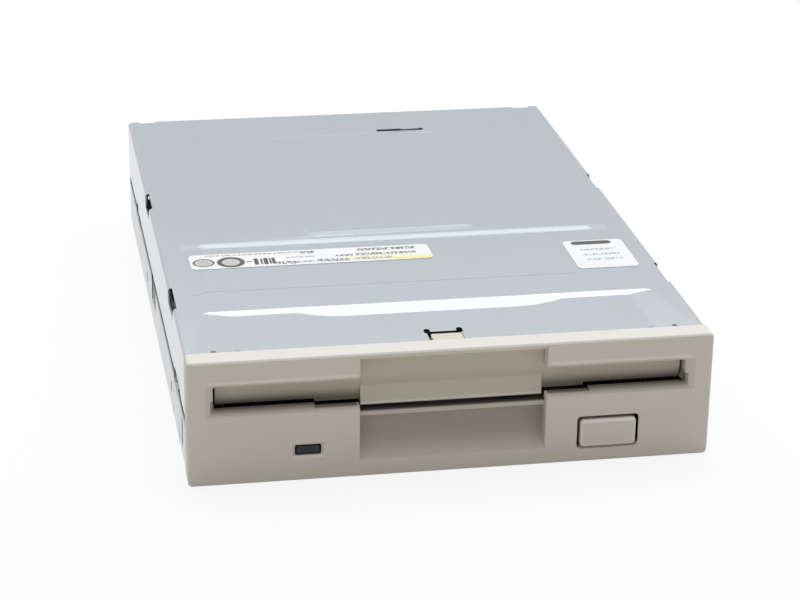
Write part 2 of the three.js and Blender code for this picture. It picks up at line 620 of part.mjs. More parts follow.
// Chassis: a folded tray with low walls, guide tabs that stand inside the cover, and openings in its floor
const camPinYs = [25, 85];
const camPin = { radius: 1.4, slack: 0.25, z: (lipTop + trayUnder) / 2 };
const chassis = {
  wallTop: 11.2, corner: 1, tabLow: 8.5, tabTop: 22.4, tabLength: 15, rearTabInset: 20.9, rearTabLength: 16,
  frontTab: [7, 15], stripTop: 13.2,
  motorWindow: 17, boardWindowX: [-36, -2],
  boardWindowInset: 17.3, boardWindowLength: 11.4, windowCorner: 3, slotRun: 0.35,
  holeZ: 5, holeRadius: 1.3, holeYs: [35.8, 95.8], bottomHoleX: 41.5, bottomHoleYs: [40, 110],
  boss: 3, bossInner: 2, rearLip: 5.5, rearLipX: [41.5, 48.5], hookWindow: 0.5,
  middleNotch: [79.8, 82.4], middleNotchLow: 5.2, frontNotch: [20.5, 28.5], notchLow: 9.4,
};
const wallInner = coverOuter - chassisSheet;
const rearTab = from(bodyRear - chassis.rearTabInset, chassis.rearTabLength);
const tabs = [...camPinYs.map((y) => about(y, chassis.tabLength)), rearTab, chassis.frontTab];
const stripYs = [chassis.frontTab[0], rearTab[1]];

function chassisGeometry() {
  const u = new THREE.Shape();
  u.moveTo(chassis.corner - coverOuter, 0);
  u.absarc(coverOuter - chassis.corner, chassis.corner, chassis.corner, -quarter, 0);
  u.lineTo(coverOuter, chassis.wallTop);
  u.lineTo(wallInner, chassis.wallTop);
  u.lineTo(wallInner, chassisSheet);
  u.lineTo(-wallInner, chassisSheet);
  u.lineTo(-wallInner, chassis.wallTop);
  u.lineTo(-coverOuter, chassis.wallTop);
  u.absarc(chassis.corner - coverOuter, chassis.corner, chassis.corner, 2 * quarter, 3 * quarter);
  const tray = alongY(u, [bodyFront, bodyRear - coverSheet]);
  const pieces = [-1, 1].flatMap((side) => [
    ...tabs.map((ys) => block(onSide([tabInner, tabOuter], side), ys, [chassis.tabLow, chassis.tabTop])),
    block(onSide([tabInner, tabOuter], side), stripYs, [chassis.tabLow, chassis.stripTop]),
    ...chassis.holeYs.map((y) => rodX(chassis.boss,
      onSide([wallInner - chassis.bossInner, wallInner + chassisSheet / 2],
      side), y, chassis.holeZ, pinSides)),
    block(onSide(chassis.rearLipX, side), [bodyRear - coverSheet - chassisSheet, bodyRear - coverSheet],
      [0, chassis.rearLip]),
  ]);
  const pinTop = camPin.z + camPin.radius + camPin.slack + chassis.slotRun;
  const pinLow = camPin.z - liftDrop - camPin.radius - camPin.slack - chassis.slotRun;
  const slotHalfWidth = camPin.radius + camPin.slack;
  const hookYs = [bezelDepth + bezel.armReach - bezel.hookDeep - chassis.hookWindow,
    bezelDepth + bezel.armReach + chassis.hookWindow];
  const cuts = [-1, 1].flatMap((side) => [
    ...camPinYs.map((y) => block(onSide([tabInner - overrun / 2, tabOuter + overrun / 4], side),
      about(y, 2 * slotHalfWidth), [pinLow, pinTop])),
    ...chassis.holeYs.map((y) => rodX(chassis.holeRadius, onSide([tabInner - chassis.bossInner - overrun,
      coverOuter + overrun], side), y, chassis.holeZ, pinSides)),
    block(onSide([tabInner, coverOuter + overrun], side), hookYs,
      about(bezel.armZ, bezel.armHeight + 2 * chassis.hookWindow)),
    ...chassis.bottomHoleYs.map((y) => (
      rodZ(chassis.holeRadius, side * chassis.bottomHoleX, y, past([0, chassisSheet])))),
    ...[chassis.frontNotch, rearSeamNotch].map((ys) => (
      block(onSide([tabOuter, coverOuter + overrun], side), ys, [chassis.notchLow, chassis.tabTop]))),
    block(onSide([tabInner - overrun / 2, coverOuter + overrun], side), chassis.middleNotch,
      [chassis.middleNotchLow, cover.seamNotchZ]),
  ]);
  const motorWindow = rodZ(chassis.motorWindow, 0, spindleY, past([0, chassisSheet]), roundSides);
  const boardWindowYs = from(bodyRear - chassis.boardWindowInset, chassis.boardWindowLength);
  const boardWindow = alongZ(rounded(chassis.boardWindowX, boardWindowYs, chassis.windowCorner),
    past([0, chassisSheet]));
  const clampHoles = clampYs.map((y) => (
    rodZ(screw.shank + screw.gap, clampScrewX, y, past([0, chassisSheet]))));
  return cut(fuse(tray, pieces), cuts, clampHoles, motorWindow, boardWindow);
}
addPiece('chassis', chassisGeometry(), plainSteel());

// Disk holder: a folded tray with turned-in lips, a long window for the heads and four cam pins
const holder = { front: 14.6, rear: 102.5, lipWidth: 4.6, windowHalf: 9.3, windowFront: 66 };
const trigger = {
  x: -17, y: 98, arm: 24, restY: 76.4, loadedY: 95.7, pinRadius: 1, pinSlack: 0.45, hubRadius: 3.6,
  armWidth: 3.2, thick: 0.8, lift: 0.3, rivetRadius: 1.6, rivetGap: 0.2, headRadius: 2.9, headThick: 0.6,
};
const restAngle = -Math.PI + Math.asin((trigger.y - trigger.restY) / trigger.arm);
const loadedAngle = -Math.PI + Math.asin((trigger.y - trigger.loadedY) / trigger.arm);

function arcSlot(zs) {
  const half = trigger.pinRadius + trigger.pinSlack;
  const shape = new THREE.Shape();
  const end = (angle) => [trigger.arm * Math.cos(angle), trigger.arm * Math.sin(angle)];
  shape.absarc(0, 0, trigger.arm + half, restAngle, loadedAngle, true);
  shape.absarc(...end(loadedAngle), half, loadedAngle, loadedAngle - Math.PI, true);
  shape.absarc(0, 0, trigger.arm - half, loadedAngle, restAngle, false);
  shape.absarc(...end(restAngle), half, restAngle + Math.PI, restAngle, true);
  const slab = new THREE.ExtrudeGeometry(shape, {
    depth: span(zs), bevelEnabled: false, curveSegments: 2 * cornerSteps,
  });
  return slab.translate(trigger.x, trigger.y, zs[0]);
}

function holderGeometry() {
  const ys = [holder.front, holder.rear];
  const outer = block([-holderOuter, holderOuter], ys, [lipUnder, trayTop]);
  const room = block([-holderInner, holderInner], past(ys), [lipTop, trayUnder]);
  const belly = block([holder.lipWidth - holderInner, holderInner - holder.lipWidth], past(ys),
    [lipUnder - overrun, lipTop + overrun / 2]);
  const window = block([-holder.windowHalf, holder.windowHalf], [holder.windowFront, holder.rear + overrun],
    past([trayUnder, trayTop]));
  const rivetHole = rodZ(trigger.rivetRadius + trigger.rivetGap, trigger.x, trigger.y,
    past([trayUnder, trayTop]));
  const pins = [-1, 1].flatMap((side) => camPinYs.map((y) => rodX(camPin.radius,
    onSide([holderInner + sheet / 2, tabOuter - seatGap], side), y, camPin.z)));
  const hub = rodZ(trigger.hubRadius * 2, 0, spindleY, past([trayUnder, trayTop]), roundSides);
  return fuse(cut(outer, room, belly, window, rivetHole, hub, arcSlot(past([trayUnder, trayTop]))), pins);
}
addPiece('disk_holder', holderGeometry(), plainSteel());

// Slide plate: straddles the holder; sloped slots in its sides lift and lower the holder's pins
const plate = {
  front: 19.6, rear: 97, sideLow: 9.4, topRear: 60, windowHalf: 33, windowY: [27, 51], windowCorner: 4,
  armZ: [3.6, 12], armBack: 31, rearRelief: [40, 70], reliefHigh: 14,
};
function camSlot(y, side) {
  const half = camPin.radius + camPin.slack;
  const slope = Math.atan2(liftDrop, plateTravel);
  const start = [y, camPin.z];
  const end = [y + plateTravel, camPin.z - liftDrop];
  const shape = new THREE.Shape();
  shape.absarc(...start, half, quarter - slope, 3 * quarter - slope, false);
  shape.absarc(...end, half, -quarter - slope, quarter - slope, false);
  shape.closePath();
  const slot = alongX(shape, [plateInner - overrun / 4, plateOuter + overrun / 4]);
  return side > 0 ? slot : slot.translate(-plateInner - plateOuter, 0, 0);
}
function plateGeometry() {
  const ys = [plate.front, plate.rear];
  const side = (sign) => block(onSide([plateInner, plateOuter], sign), ys, [plate.sideLow, plateTop]);
  const top = block([-plateOuter, plateOuter], [plate.front, plate.topRear], [plateUnder, plateTop]);
  const arm = block([plateInner, plateOuter], [tongueFace.y, plate.armBack], plate.armZ);
  const tongue = block([tongueFace.inner, plateOuter], from(tongueFace.y, sheet), tongueFace.z);
  const window = alongZ(rounded([-plate.windowHalf, plate.windowHalf], plate.windowY, plate.windowCorner),
    past([plateUnder, plateTop]));
  const relief = block(past([-plateOuter, plateOuter]), plate.rearRelief,
    [plate.sideLow - overrun, plate.reliefHigh]);
  const slots = [-1, 1].flatMap((sign) => camPinYs.map((y) => camSlot(y, sign)));
  return fuse(cut(fuse(side(-1), side(1), top), window, relief, slots), arm, tongue);
}
addPiece('slide_plate', plateGeometry(), brightSteel());

// Trigger lever on the holder: its pin is pushed back by the disk's shutter edge
const leverGroup = subassembly(trigger.x, trigger.y, trayTop + trigger.lift);
function leverGeometry() {
  const half = trigger.armWidth / 2;
  const hub = rodZ(trigger.hubRadius, 0, 0, [0, trigger.thick], roundSides);
  const tip = rodZ(half, trigger.arm, 0, [0, trigger.thick], pinSides);
  const blade = block([0, trigger.arm], [-half, half], [0, trigger.thick]);
  const pin = rodZ(trigger.pinRadius, trigger.arm, 0,
    [trayUnder - diskThickness / 2 - trayTop - trigger.lift, trigger.thick], pinSides);
  const hole = rodZ(trigger.rivetRadius + trigger.rivetGap, 0, 0, past([0, trigger.thick]));
  return cut(fuse(hub, tip, blade, pin), hole);
}
addPiece('trigger_lever', leverGeometry(), brightSteel(), leverGroup).rotation.z = restAngle;
const rivetLow = diskFaceGap / 2 - sheet - trigger.lift;
const rivetTop = trigger.thick + runGap;
addPiece('trigger_rivet', turned([
  [0, rivetLow], [trigger.rivetRadius, rivetLow], [trigger.rivetRadius, rivetTop],
  [trigger.headRadius, rivetTop],
  [trigger.headRadius, rivetTop + trigger.headThick / 2],
  [trigger.headRadius - trigger.headThick, rivetTop + trigger.headThick], [0, rivetTop + trigger.headThick],
], pinSides), brass(), leverGroup);

// Coil springs that pull the slide plate forward, one on each side, in the space outside the plate
const pullCoil = {
  radius: 0.52, wire: 0.16, turns: 10, pitch: 1.1, stepsPerTurn: 6, startAngle: 0, sense: 1, hook: 2.2,
};
const pullSpring = { y: 44, z: 16 };
for (const [side, label] of [[-1, 'left'], [1, 'right']]) {
  const coil = coilPoints(pullCoil);
  tellLeastGap(`eject spring ${label}`, coil, pullCoil);
  const start = new THREE.Vector3(0, 0, -pullCoil.hook);
  const end = new THREE.Vector3(0, 0, coil.at(-1).z + pullCoil.hook);
  const wire = wireAlong([start, ...coil, end], pullCoil.wire);
  addPiece(`eject_spring_${label}`, layAlongY(wire), brightSteel(),
    subassembly(side * (plateOuter + tabGap / 2), pullSpring.y, pullSpring.z));
}

// Spindle motor about its own axis
const spindle = subassembly(0, spindleY, 0);
const rotor = {
  outer: 22, skirt: 0.9, top: 11, thick: 0.9, low: 5.2, magnet: 1.1, magnetGap: 0.25, hubHole: 2.6,
};
const hubSeatZ = diskRestZ - liftDrop;
const hubProud = { plate: 0.15, pin: 1.25, shaft: 1.65 };
const shaft = { radius: 1.98, top: hubSeatZ + hubProud.shaft, low: 1.3 };
const hub = { radius: 12.4, low: rotor.top + seatGap, top: hubSeatZ + hubProud.plate, edge: 0.4, gap: 0.25 };
const bearing = { radius: 4.6, flange: 7, flangeThick: 0.8, top: 9.6, low: 1.4, gap: 0.28 };
const poles = {
  count: 12, inner: 7, arm: 1.3, shoeIn: 16.8, shoe: 3.1, shoeTip: 3.4, outer: 18.9, zs: [5.3, 8.6],
};
const drivePin = { x: 6.4, radius: 1.1, gap: 0.35, top: hubSeatZ + hubProud.pin };

// A ring of four corners about the z axis
const ringProfile = ([inner, outer], [low, high]) => (
  [[inner, low], [outer, low], [outer, high], [inner, high], [inner, low]]
);
const rotorWall = rotor.outer - rotor.skirt;
const rotorUnder = rotor.top - rotor.thick;
addPiece('spindle_rotor', turned([
  [rotor.hubHole, rotorUnder], [rotorWall, rotorUnder], [rotorWall, rotor.low], [rotor.outer, rotor.low],
  [rotor.outer, rotor.top - rotor.skirt / 2], [rotor.outer - rotor.skirt / 2, rotor.top],
  [rotor.hubHole, rotor.top], [rotor.hubHole, rotorUnder],
], fineSides), plainSteel(), spindle);
const magnetOuter = rotorWall - rotor.magnetGap;
addPiece('rotor_magnet', turned(
  ringProfile([magnetOuter - rotor.magnet, magnetOuter], [rotor.low + seatGap, rotorUnder - seatGap]),
  fineSides,
), finish(0x3a3634, 0.7, 0.1), spindle);
addPiece('spindle_shaft', turned([
  [0, shaft.low], [shaft.radius, shaft.low], [shaft.radius, shaft.top - hub.edge],
  [shaft.radius - hub.edge, shaft.top], [0, shaft.top],
], pinSides), brightSteel(), spindle);
function hubGeometry() {
  const inner = shaft.radius + hub.gap;
  const disc = turned([[inner, hub.low], [hub.radius - hub.edge, hub.low], [hub.radius, hub.low + hub.edge],
    [hub.radius, hub.top - hub.edge], [hub.radius - hub.edge, hub.top], [inner, hub.top], [inner, hub.low]]);
  const pinSlot = rodZ(drivePin.radius + drivePin.gap, drivePin.x, 0, past([hub.low, hub.top]));
  return cut(disc, pinSlot);
}
addPiece('spindle_hub', hubGeometry(), brass(), spindle);
addPiece('drive_pin', turned([
  [0, hub.low], [drivePin.radius, hub.low], [drivePin.radius, drivePin.top - hub.edge],
  [drivePin.radius - hub.edge, drivePin.top], [0, drivePin.top],
], pinSides).translate(drivePin.x, 0, 0), brightSteel(), spindle);
const bearingBore = shaft.radius + bearing.gap;
const flangeZ = from(boardTop + seatGap / 2, bearing.flangeThick);
addPiece('spindle_bearing', turned([
  [bearingBore, bearing.low], [bearing.radius, bearing.low], [bearing.radius, flangeZ[0]],
  [bearing.flange, flangeZ[0]], [bearing.flange, flangeZ[1]], [bearing.radius, flangeZ[1]],
  [bearing.radius, bearing.top], [bearingBore, bearing.top], [bearingBore, bearing.low],
]), brass(), spindle);

function statorGeometry() {
  const ring = rodZ(poles.inner + poles.arm, 0, 0, poles.zs, roundSides);
  const teeth = [];
  for (let i = 0; i < poles.count; i += 1) {
    const angle = (i / poles.count) * 2 * Math.PI;
    const tooth = outline([[poles.inner, -poles.arm], [poles.shoeIn, -poles.arm], [poles.shoeIn, -poles.shoe],
      [poles.outer, -poles.shoeTip], [poles.outer, poles.shoeTip], [poles.shoeIn, poles.shoe],
      [poles.shoeIn, poles.arm], [poles.inner, poles.arm]]);
    teeth.push(alongZ(tooth, poles.zs).rotateZ(angle));
  }
  const bore = rodZ(bearing.radius + bearing.gap, 0, 0, past(poles.zs), roundSides);
  return cut(fuse(ring, teeth), bore);
}
addPiece('stator', statorGeometry(), copper(), spindle);

const boardScrews = [
  [board.screwInset - boardHalf, boardYs[0] + board.screwBehind],
  [boardHalf - board.screwInset, boardYs[0] + board.screwBehind],
  [0, boardYs[1] - board.rearScrewInset],
];
function motorBoardGeometry() {
  const plan = rounded([-boardHalf, boardHalf], boardYs, board.corner);
  const slab = alongZ(plan, [board.z, boardTop]);
  const bore = rodZ(bearing.radius + bearing.gap, 0, spindleY, past([board.z, boardTop]), roundSides);
  const stand = (x, y) => rodZ(screw.post, x, y, [chassisSheet + seatGap / 2, board.z + board.thick / 2]);
  const holes = boardScrews.map(([x, y]) => rodZ(screw.shank + screw.gap, x, y, past([0, boardTop])));
  return cut(fuse(slab, boardScrews.map(([x, y]) => stand(x, y))), bore, holes);
}
addPiece('motor_board', motorBoardGeometry(), greenBoard());

function screwGeometry() {
  const body = turned([[0, -screw.length], [screw.shank, -screw.length], [screw.shank, seatGap / 2],
    [screw.head, seatGap / 2], [screw.head, screw.headThick * screw.rimShare],
    [screw.head * screw.crownShare, screw.headThick], [0, screw.headThick]], pinSides);
  const slots = [0, quarter].map((angle) => (
    block(about(0, screw.head * screw.slotShare), about(0, screw.slotWidth),
      [screw.headThick - screw.slotDeep, screw.headThick + overrun]).rotateZ(angle)));
  return cut(body, slots);
}
boardScrews.forEach(([x, y], i) => {
  addPiece(`motor_board_screw_${i + 1}`, screwGeometry(), brightSteel(), subassembly(x, y, boardTop));
});

// Switches on the motor board that feel the disk's corners: a body and a sprung plunger each
const plunger = { radius: 1.1, below: 0.3, foot: 1.5, footThick: 0.8, gap: 0.3, tip: 0.4 };
const switchBody = { width: 5.2, length: 5.6, height: 6.2, cornerInset: 4.5, cornerBehind: 4.4, pitch: 7.5 };
const switchHalf = boardHalf - switchBody.cornerInset;
const switchY = boardYs[0] + switchBody.cornerBehind;
const switches = [
  ['write_protect', -switchHalf],
  ['density', switchHalf],
  ['disk_in', switchBody.pitch - switchHalf],
];
for (const [label, x] of switches) {
  const group = subassembly(x, switchY, boardTop + seatGap / 2);
  const body = block(about(0, switchBody.width), about(0, switchBody.length), [0, switchBody.height]);
  const well = rodZ(plunger.foot + plunger.gap, 0, 0,
    [switchBody.height / 4, switchBody.height - plunger.footThick]);
  const mouth = rodZ(plunger.radius + plunger.gap, 0, 0,
    [switchBody.height / 2, switchBody.height + overrun]);
  addPiece(`${label}_switch`, cut(body, well, mouth), blackPlastic(), group);
  const footTop = switchBody.height - plunger.footThick - plunger.gap;
  const footLow = footTop - plunger.footThick;
  const top = diskRestZ - plunger.below - boardTop - seatGap / 2;
  addPiece(`${label}_plunger`, turned([
    [0, footLow], [plunger.foot, footLow], [plunger.foot, footTop], [plunger.radius, footTop],
    [plunger.radius, top - plunger.tip], [plunger.radius - plunger.tip, top], [0, top],
  ], pinSides), creamPlastic(), group);
}

// Head carriage: slides on one rod and one rail, in its own frame at the heads on the outer track
const carriage = {
  back: 33, front: 10.5, low: 11.55, top: 13.4, left: 4.3, right: 2, lug: 3.4, lugLength: 5, lugLow: 5.6,
  armHalf: 5, armFront: 5, armTop: 12.55, earX: 7.5, earThick: 1.4, earFront: 27.6, hingeBack: 31, hingeZ: 17,
  earRadius: 1.9, headSeat: 0.15,
};
const sensor = { x: -25, behind: 24.5, width: 4.6, length: 7, height: 8, slot: 1.8, slotDeep: 5 };
const flag = { thick: 0.6, front: 16.5, length: 8, bridge: 1.5, low: 9.6, top: 12.6 };
const headPad = { halfX: 2.75, halfY: 4, sink: 0.12, edge: 0.4 };
const headTop = hubSeatZ + diskThickness / 2 - headPad.sink;
const padOutline = (by) => (
  roundedPoints(wider([-headPad.halfX, headPad.halfX], -by), wider([-headPad.halfY, headPad.halfY], -by),
    headPad.edge)
);
const armDown = 8.34;
const heads = subassembly(0, headY, 0);
const hingePin = { radius: 0.8, gap: 0.22 };

function carriageGeometry() {
  const deckX = [rodX0 - carriage.left, rail.x + carriage.right];
  const deck = block(deckX, [carriage.front, carriage.back], [carriage.low, carriage.top]);
  const arm = block([-carriage.armHalf, carriage.armHalf], [-carriage.armFront, carriage.front + overrun],
    [carriage.low, carriage.armTop]);
  const frontLug = from(carriage.front, carriage.lugLength);
  const backLug = [carriage.back - carriage.lugLength, carriage.back];
  const lugs = [frontLug, backLug].map((ys) => (
    block(about(rodX0, 2 * carriage.lug), ys, [carriage.lugLow, carriage.top])));
  const bore = rodY(guide.radius + guide.gap, rodX0, past([carriage.front, carriage.back]), guide.z);
  const earShape = outline([
    [carriage.earFront, carriage.low], [carriage.back, carriage.low], [carriage.back, carriage.hingeZ],
    [carriage.hingeBack + carriage.earRadius / 2, carriage.hingeZ + carriage.earRadius],
    [carriage.hingeBack - carriage.earRadius / 2, carriage.hingeZ + carriage.earRadius],
    [carriage.hingeBack - carriage.earRadius, carriage.hingeZ],
  ]);
  const ears = [-1, 1].map((side) => (
    alongX(earShape, onSide(from(carriage.earX, carriage.earThick), side))));
  const vane = [
    block(about(sensor.x, flag.thick), from(flag.front, flag.length), [flag.low, flag.top]),
    block([sensor.x - flag.thick / 2, rodX0 - carriage.left + sheet], from(flag.front, flag.bridge),
      [carriage.low, flag.top]),
  ];
  const pinBore = rodX(hingePin.radius + hingePin.gap, past([-carriage.earX - carriage.earThick,
    carriage.earX + carriage.earThick]), carriage.hingeBack, carriage.hingeZ);
  return cut(fuse(deck, arm, lugs, ears, vane), bore, pinBore);
}
addPiece('head_carriage', carriageGeometry(), greyPlastic(), heads);
addPiece('lower_head', loft([
  [carriage.armTop + carriage.headSeat, padOutline(0)], [headTop - headPad.edge, padOutline(0)],
  [headTop, padOutline(headPad.edge)],
]), finish(0x54504c, 0.3, 0), heads);
const earOuter = carriage.earX + carriage.earThick;
addPiece('arm_hinge_pin', rodX(hingePin.radius, [-earOuter, earOuter], carriage.hingeBack, carriage.hingeZ),
  brightSteel(), heads);

const upper = {
  halfX: 5.2, bossHalf: 7, bossGapHalf: 3.2, gapFront: 2.6, bossRadius: 2.1, above: 0.35, thick: 1.5, tip: 6,
  padRise: 1.3, padGap: 0.35, bendUnder: 13.5, bendOver: 15, lugX: [4.5, 12.6], lugY: [12.2, 16],
};
const armUnder = trayTop + upper.above;
function upperArmGeometry() {
  const rear = carriage.hingeBack - upper.bossRadius;
  const shape = outline([
    [-upper.tip, armUnder], [upper.bendUnder, armUnder], [rear, carriage.hingeZ - upper.thick / 2],
    [carriage.hingeBack, carriage.hingeZ], [rear + upper.thick, carriage.hingeZ + upper.bossRadius],
    [upper.bendOver, armUnder + upper.thick], [-upper.tip, armUnder + upper.thick],
  ]);
  const blade = alongX(shape, [-upper.halfX, upper.halfX]);
  const boss = rodX(upper.bossRadius, [-upper.bossHalf, upper.bossHalf], carriage.hingeBack, carriage.hingeZ);
  const bossGap = block([-upper.bossGapHalf, upper.bossGapHalf],
    [rear - upper.gapFront, carriage.hingeBack + upper.bossRadius + overrun],
    about(carriage.hingeZ, 3 * upper.bossRadius));
  const lug = block(upper.lugX, upper.lugY, from(armUnder, upper.thick));
  const pinBore = rodX(hingePin.radius + hingePin.gap, past([-upper.bossHalf, upper.bossHalf]),
    carriage.hingeBack, carriage.hingeZ);
  const padWindow = block(wider([-headPad.halfX, headPad.halfX], upper.padGap),
    wider([-headPad.halfY, headPad.halfY], upper.padGap), past(from(armUnder, upper.thick)));
  return cut(fuse(blade, boss, lug), bossGap, pinBore, padWindow);
}
addPiece('upper_arm', upperArmGeometry(), greyPlastic(), heads);
const padDrop = Math.sin(THREE.MathUtils.degToRad(armDown)) * (carriage.hingeBack + headPad.halfY);
const padLow = headTop + runGap + padDrop;
addPiece('upper_head', loft([
  [padLow, padOutline(headPad.edge)], [padLow + headPad.edge, padOutline(0)],
  [armUnder + upper.padRise, padOutline(0)],
]), finish(0x54504c, 0.3, 0), heads);

// Torsion spring on the arm's hinge pin, one leg on the carriage and one over the arm
const armCoil = {
  radius: 1.45, wire: 0.2, turns: 4.5, pitch: 0.95, stepsPerTurn: 8, startAngle: -quarter, sense: 1,
  lowLeg: [-2.6, -1.7], highLeg: [-6, 2.35],
};
function armSpringGeometry() {
  const coil = coilPoints(armCoil);
  tellLeastGap('arm spring', coil, armCoil);
  const low = coil[0].clone().add(new THREE.Vector3(...armCoil.lowLeg, 0));
  const high = coil.at(-1).clone().add(new THREE.Vector3(...armCoil.highLeg, 0));
  return layAlongX(wireAlong([low, ...coil, high], armCoil.wire));
}
addPiece('arm_spring', armSpringGeometry(), brightSteel(),
  subassembly(-armCoil.pitch * armCoil.turns / 2, carriage.hingeBack, carriage.hingeZ, heads));

// Guide rod in two clamps, and the side rail on the chassis floor
addPiece('guide_rod', rodY(guide.radius, rodX0, guideYs, guide.z), brightSteel());
const floorSeat = chassisSheet + seatGap / 2;
for (const [label, y] of [['front', clampYs[0]], ['rear', clampYs[1]]]) {
  const ys = about(y, clamp.length);
  const footTop = floorSeat + clamp.footThick;
  const stand = block(about(rodX0, clamp.width), ys, [floorSeat, guide.z + guide.radius + clamp.cap]);
  const foot = block([rodX0 - clamp.foot, rodX0], ys, [floorSeat, footTop]);
  addPiece(`rod_clamp_${label}`, cut(fuse(stand, foot),
    rodY(guide.radius + clamp.gap, rodX0, past(ys), guide.z),
    rodZ(screw.shank + screw.gap, clampScrewX, y, past([chassisSheet, footTop]))), plainSteel());
  addPiece(`rod_clamp_screw_${label}`, screwGeometry(), brightSteel(),
    subassembly(clampScrewX, y, footTop));
}
const railX = about(rail.x, rail.width);
const railFootX = railX[1] - rail.foot;
const railWebX = railX[1] - rail.thick;
const railShape = outline([
  [railX[0], rail.top], [railX[0], rail.top - rail.thick], [railWebX, rail.top - rail.thick],
  [railWebX, chassisSheet + rail.thick], [railFootX, chassisSheet + rail.thick],
  [railFootX, floorSeat], [railX[1], floorSeat], [railX[1], rail.top],
]);
addPiece('side_rail', alongY(railShape, [headY - rail.before, headY + rail.behind]), brightSteel());

// Stepping motor, its bracket, the threaded lead screw and its front pivot
const stepper = { radius: 7.4, chamfer: 0.6 };
const lead = {
  outer: 1.5, root: 1, pitch: 3, flat: 0.42, before: 3.9, past: [3.2, 4.5], ringsPerTurn: 6, sides: 12,
  toothBehind: 18.5,
};
const leadYs = [headY - lead.before, motorFront];
const toothY = headY + lead.toothBehind;
const threadYs = [toothY - headTravel - lead.past[0], toothY + lead.past[1]];

function leadScrewGeometry() {
  const places = [0, leadYs[0], 0];
  const rings = [[leadYs[0], lead.root], [threadYs[0] - lead.flat, lead.root],
    [threadYs[0] - lead.flat, lead.outer]];
  const steps = Math.round(span(threadYs) / lead.pitch * lead.ringsPerTurn);
  const plain = rings.length;
  for (let i = 0; i <= steps; i += 1) rings.push([threadYs[0] + (i / steps) * span(threadYs), null]);
  const threaded = rings.length;
  rings.push([threadYs[1] + lead.flat, lead.outer], [leadYs[1], lead.outer]);
  rings.forEach(([y, radius], ring) => {
    for (let side = 0; side < lead.sides; side += 1) {
      const angle = (side / lead.sides) * 2 * Math.PI;
      const turnsAway = (y - toothY) / lead.pitch - angle / (2 * Math.PI);
      const fromGroove = Math.abs(turnsAway - Math.round(turnsAway)) * 2;
      const depth = Math.min(1, Math.max(0, (fromGroove - lead.flat) / (1 - lead.flat)));
      const inThread = ring >= plain && ring < threaded;
      const r = inThread ? lead.root + (lead.outer - lead.root) * depth : radius;
      places.push(r * Math.sin(angle), y, r * Math.cos(angle));
    }
  });
  places.push(0, leadYs[1], 0);
  const index = [];
  const at = (ring, side) => 1 + ring * lead.sides + (side % lead.sides);
  for (let side = 0; side < lead.sides; side += 1) {
    index.push(0, at(0, side), at(0, side + 1));
    for (let ring = 0; ring < rings.length - 1; ring += 1) {
      index.push(at(ring, side), at(ring + 1, side), at(ring + 1, side + 1));
      index.push(at(ring, side), at(ring + 1, side + 1), at(ring, side + 1));
    }
    index.push(places.length / 3 - 1, at(rings.length - 1, side + 1), at(rings.length - 1, side));
  }
  const geometry = new THREE.BufferGeometry();
  geometry.setAttribute('position', new THREE.Float32BufferAttribute(places, 3));
  geometry.setIndex(index);
  return outward(geometry);
}
addPiece('lead_screw', leadScrewGeometry(), brightSteel(), subassembly(screwX, 0, screwZ));

const follower = {
  halfX: 3, plate: 0.5, below: 0.2, toothTip: 0.28, toothRoot: 0.5, toothHalfX: 0.5, clear: 0.3,
  backFrom: 2.5,
};
function followerGeometry() {
  const y = toothY - headY;
  const top = carriage.low - follower.below;
  const base = block(about(screwX, 2 * follower.halfX), [y - follower.halfX, y + follower.backFrom],
    [top - follower.plate, top]);
  const tipZ = screwZ + lead.root + follower.clear;
  const section = (size) => (
    roundedPoints(about(screwX, 2 * follower.toothHalfX), about(y, 2 * size), size / 4));
  const tooth = loft([[tipZ, section(follower.toothTip)],
    [top - follower.plate / 2, section(follower.toothRoot)]]);
  return fuse(base, tooth);
}
addPiece('carriage_follower', followerGeometry(), brass(), heads);

const stepperRim = stepper.radius - stepper.chamfer;
addPiece('stepper_motor', turned([
  [0, 0], [stepperRim, 0], [stepper.radius, stepper.chamfer],
  [stepper.radius, motorLength - stepper.chamfer], [stepperRim, motorLength], [0, motorLength],
]).rotateX(-quarter).translate(0, leadYs[1] + motorShaftGap, 0),
plainSteel(), subassembly(screwX, 0, screwZ));
const bracket = { thick: 1, halfX: 9.2, top: 17, foot: 6, gap: 0.3 };
const bracketYs = from(leadYs[1] - bracket.thick * 2, bracket.thick);
addPiece('motor_bracket', cut(fuse(
  block(about(screwX, 2 * bracket.halfX), bracketYs, [floorSeat, bracket.top]),
  block(about(screwX, 2 * bracket.halfX), [bracketYs[0] - bracket.foot, bracketYs[1]],
    from(floorSeat, bracket.thick)),
), rodY(lead.outer + bracket.gap, screwX, past(bracketYs), screwZ)), plainSteel());
const pivot = { length: 3, width: 7, gap: 0.3, wall: 0.8 };
const pivotYs = from(leadYs[0] - pivot.wall, pivot.length);
addPiece('screw_pivot', cut(
  block(about(screwX, pivot.width), pivotYs, [floorSeat, screwZ + lead.outer + pivot.wall]),
  rodY(lead.root + pivot.gap, screwX, [leadYs[0] - pivot.gap, pivotYs[1] + overrun], screwZ),
), blackPlastic());

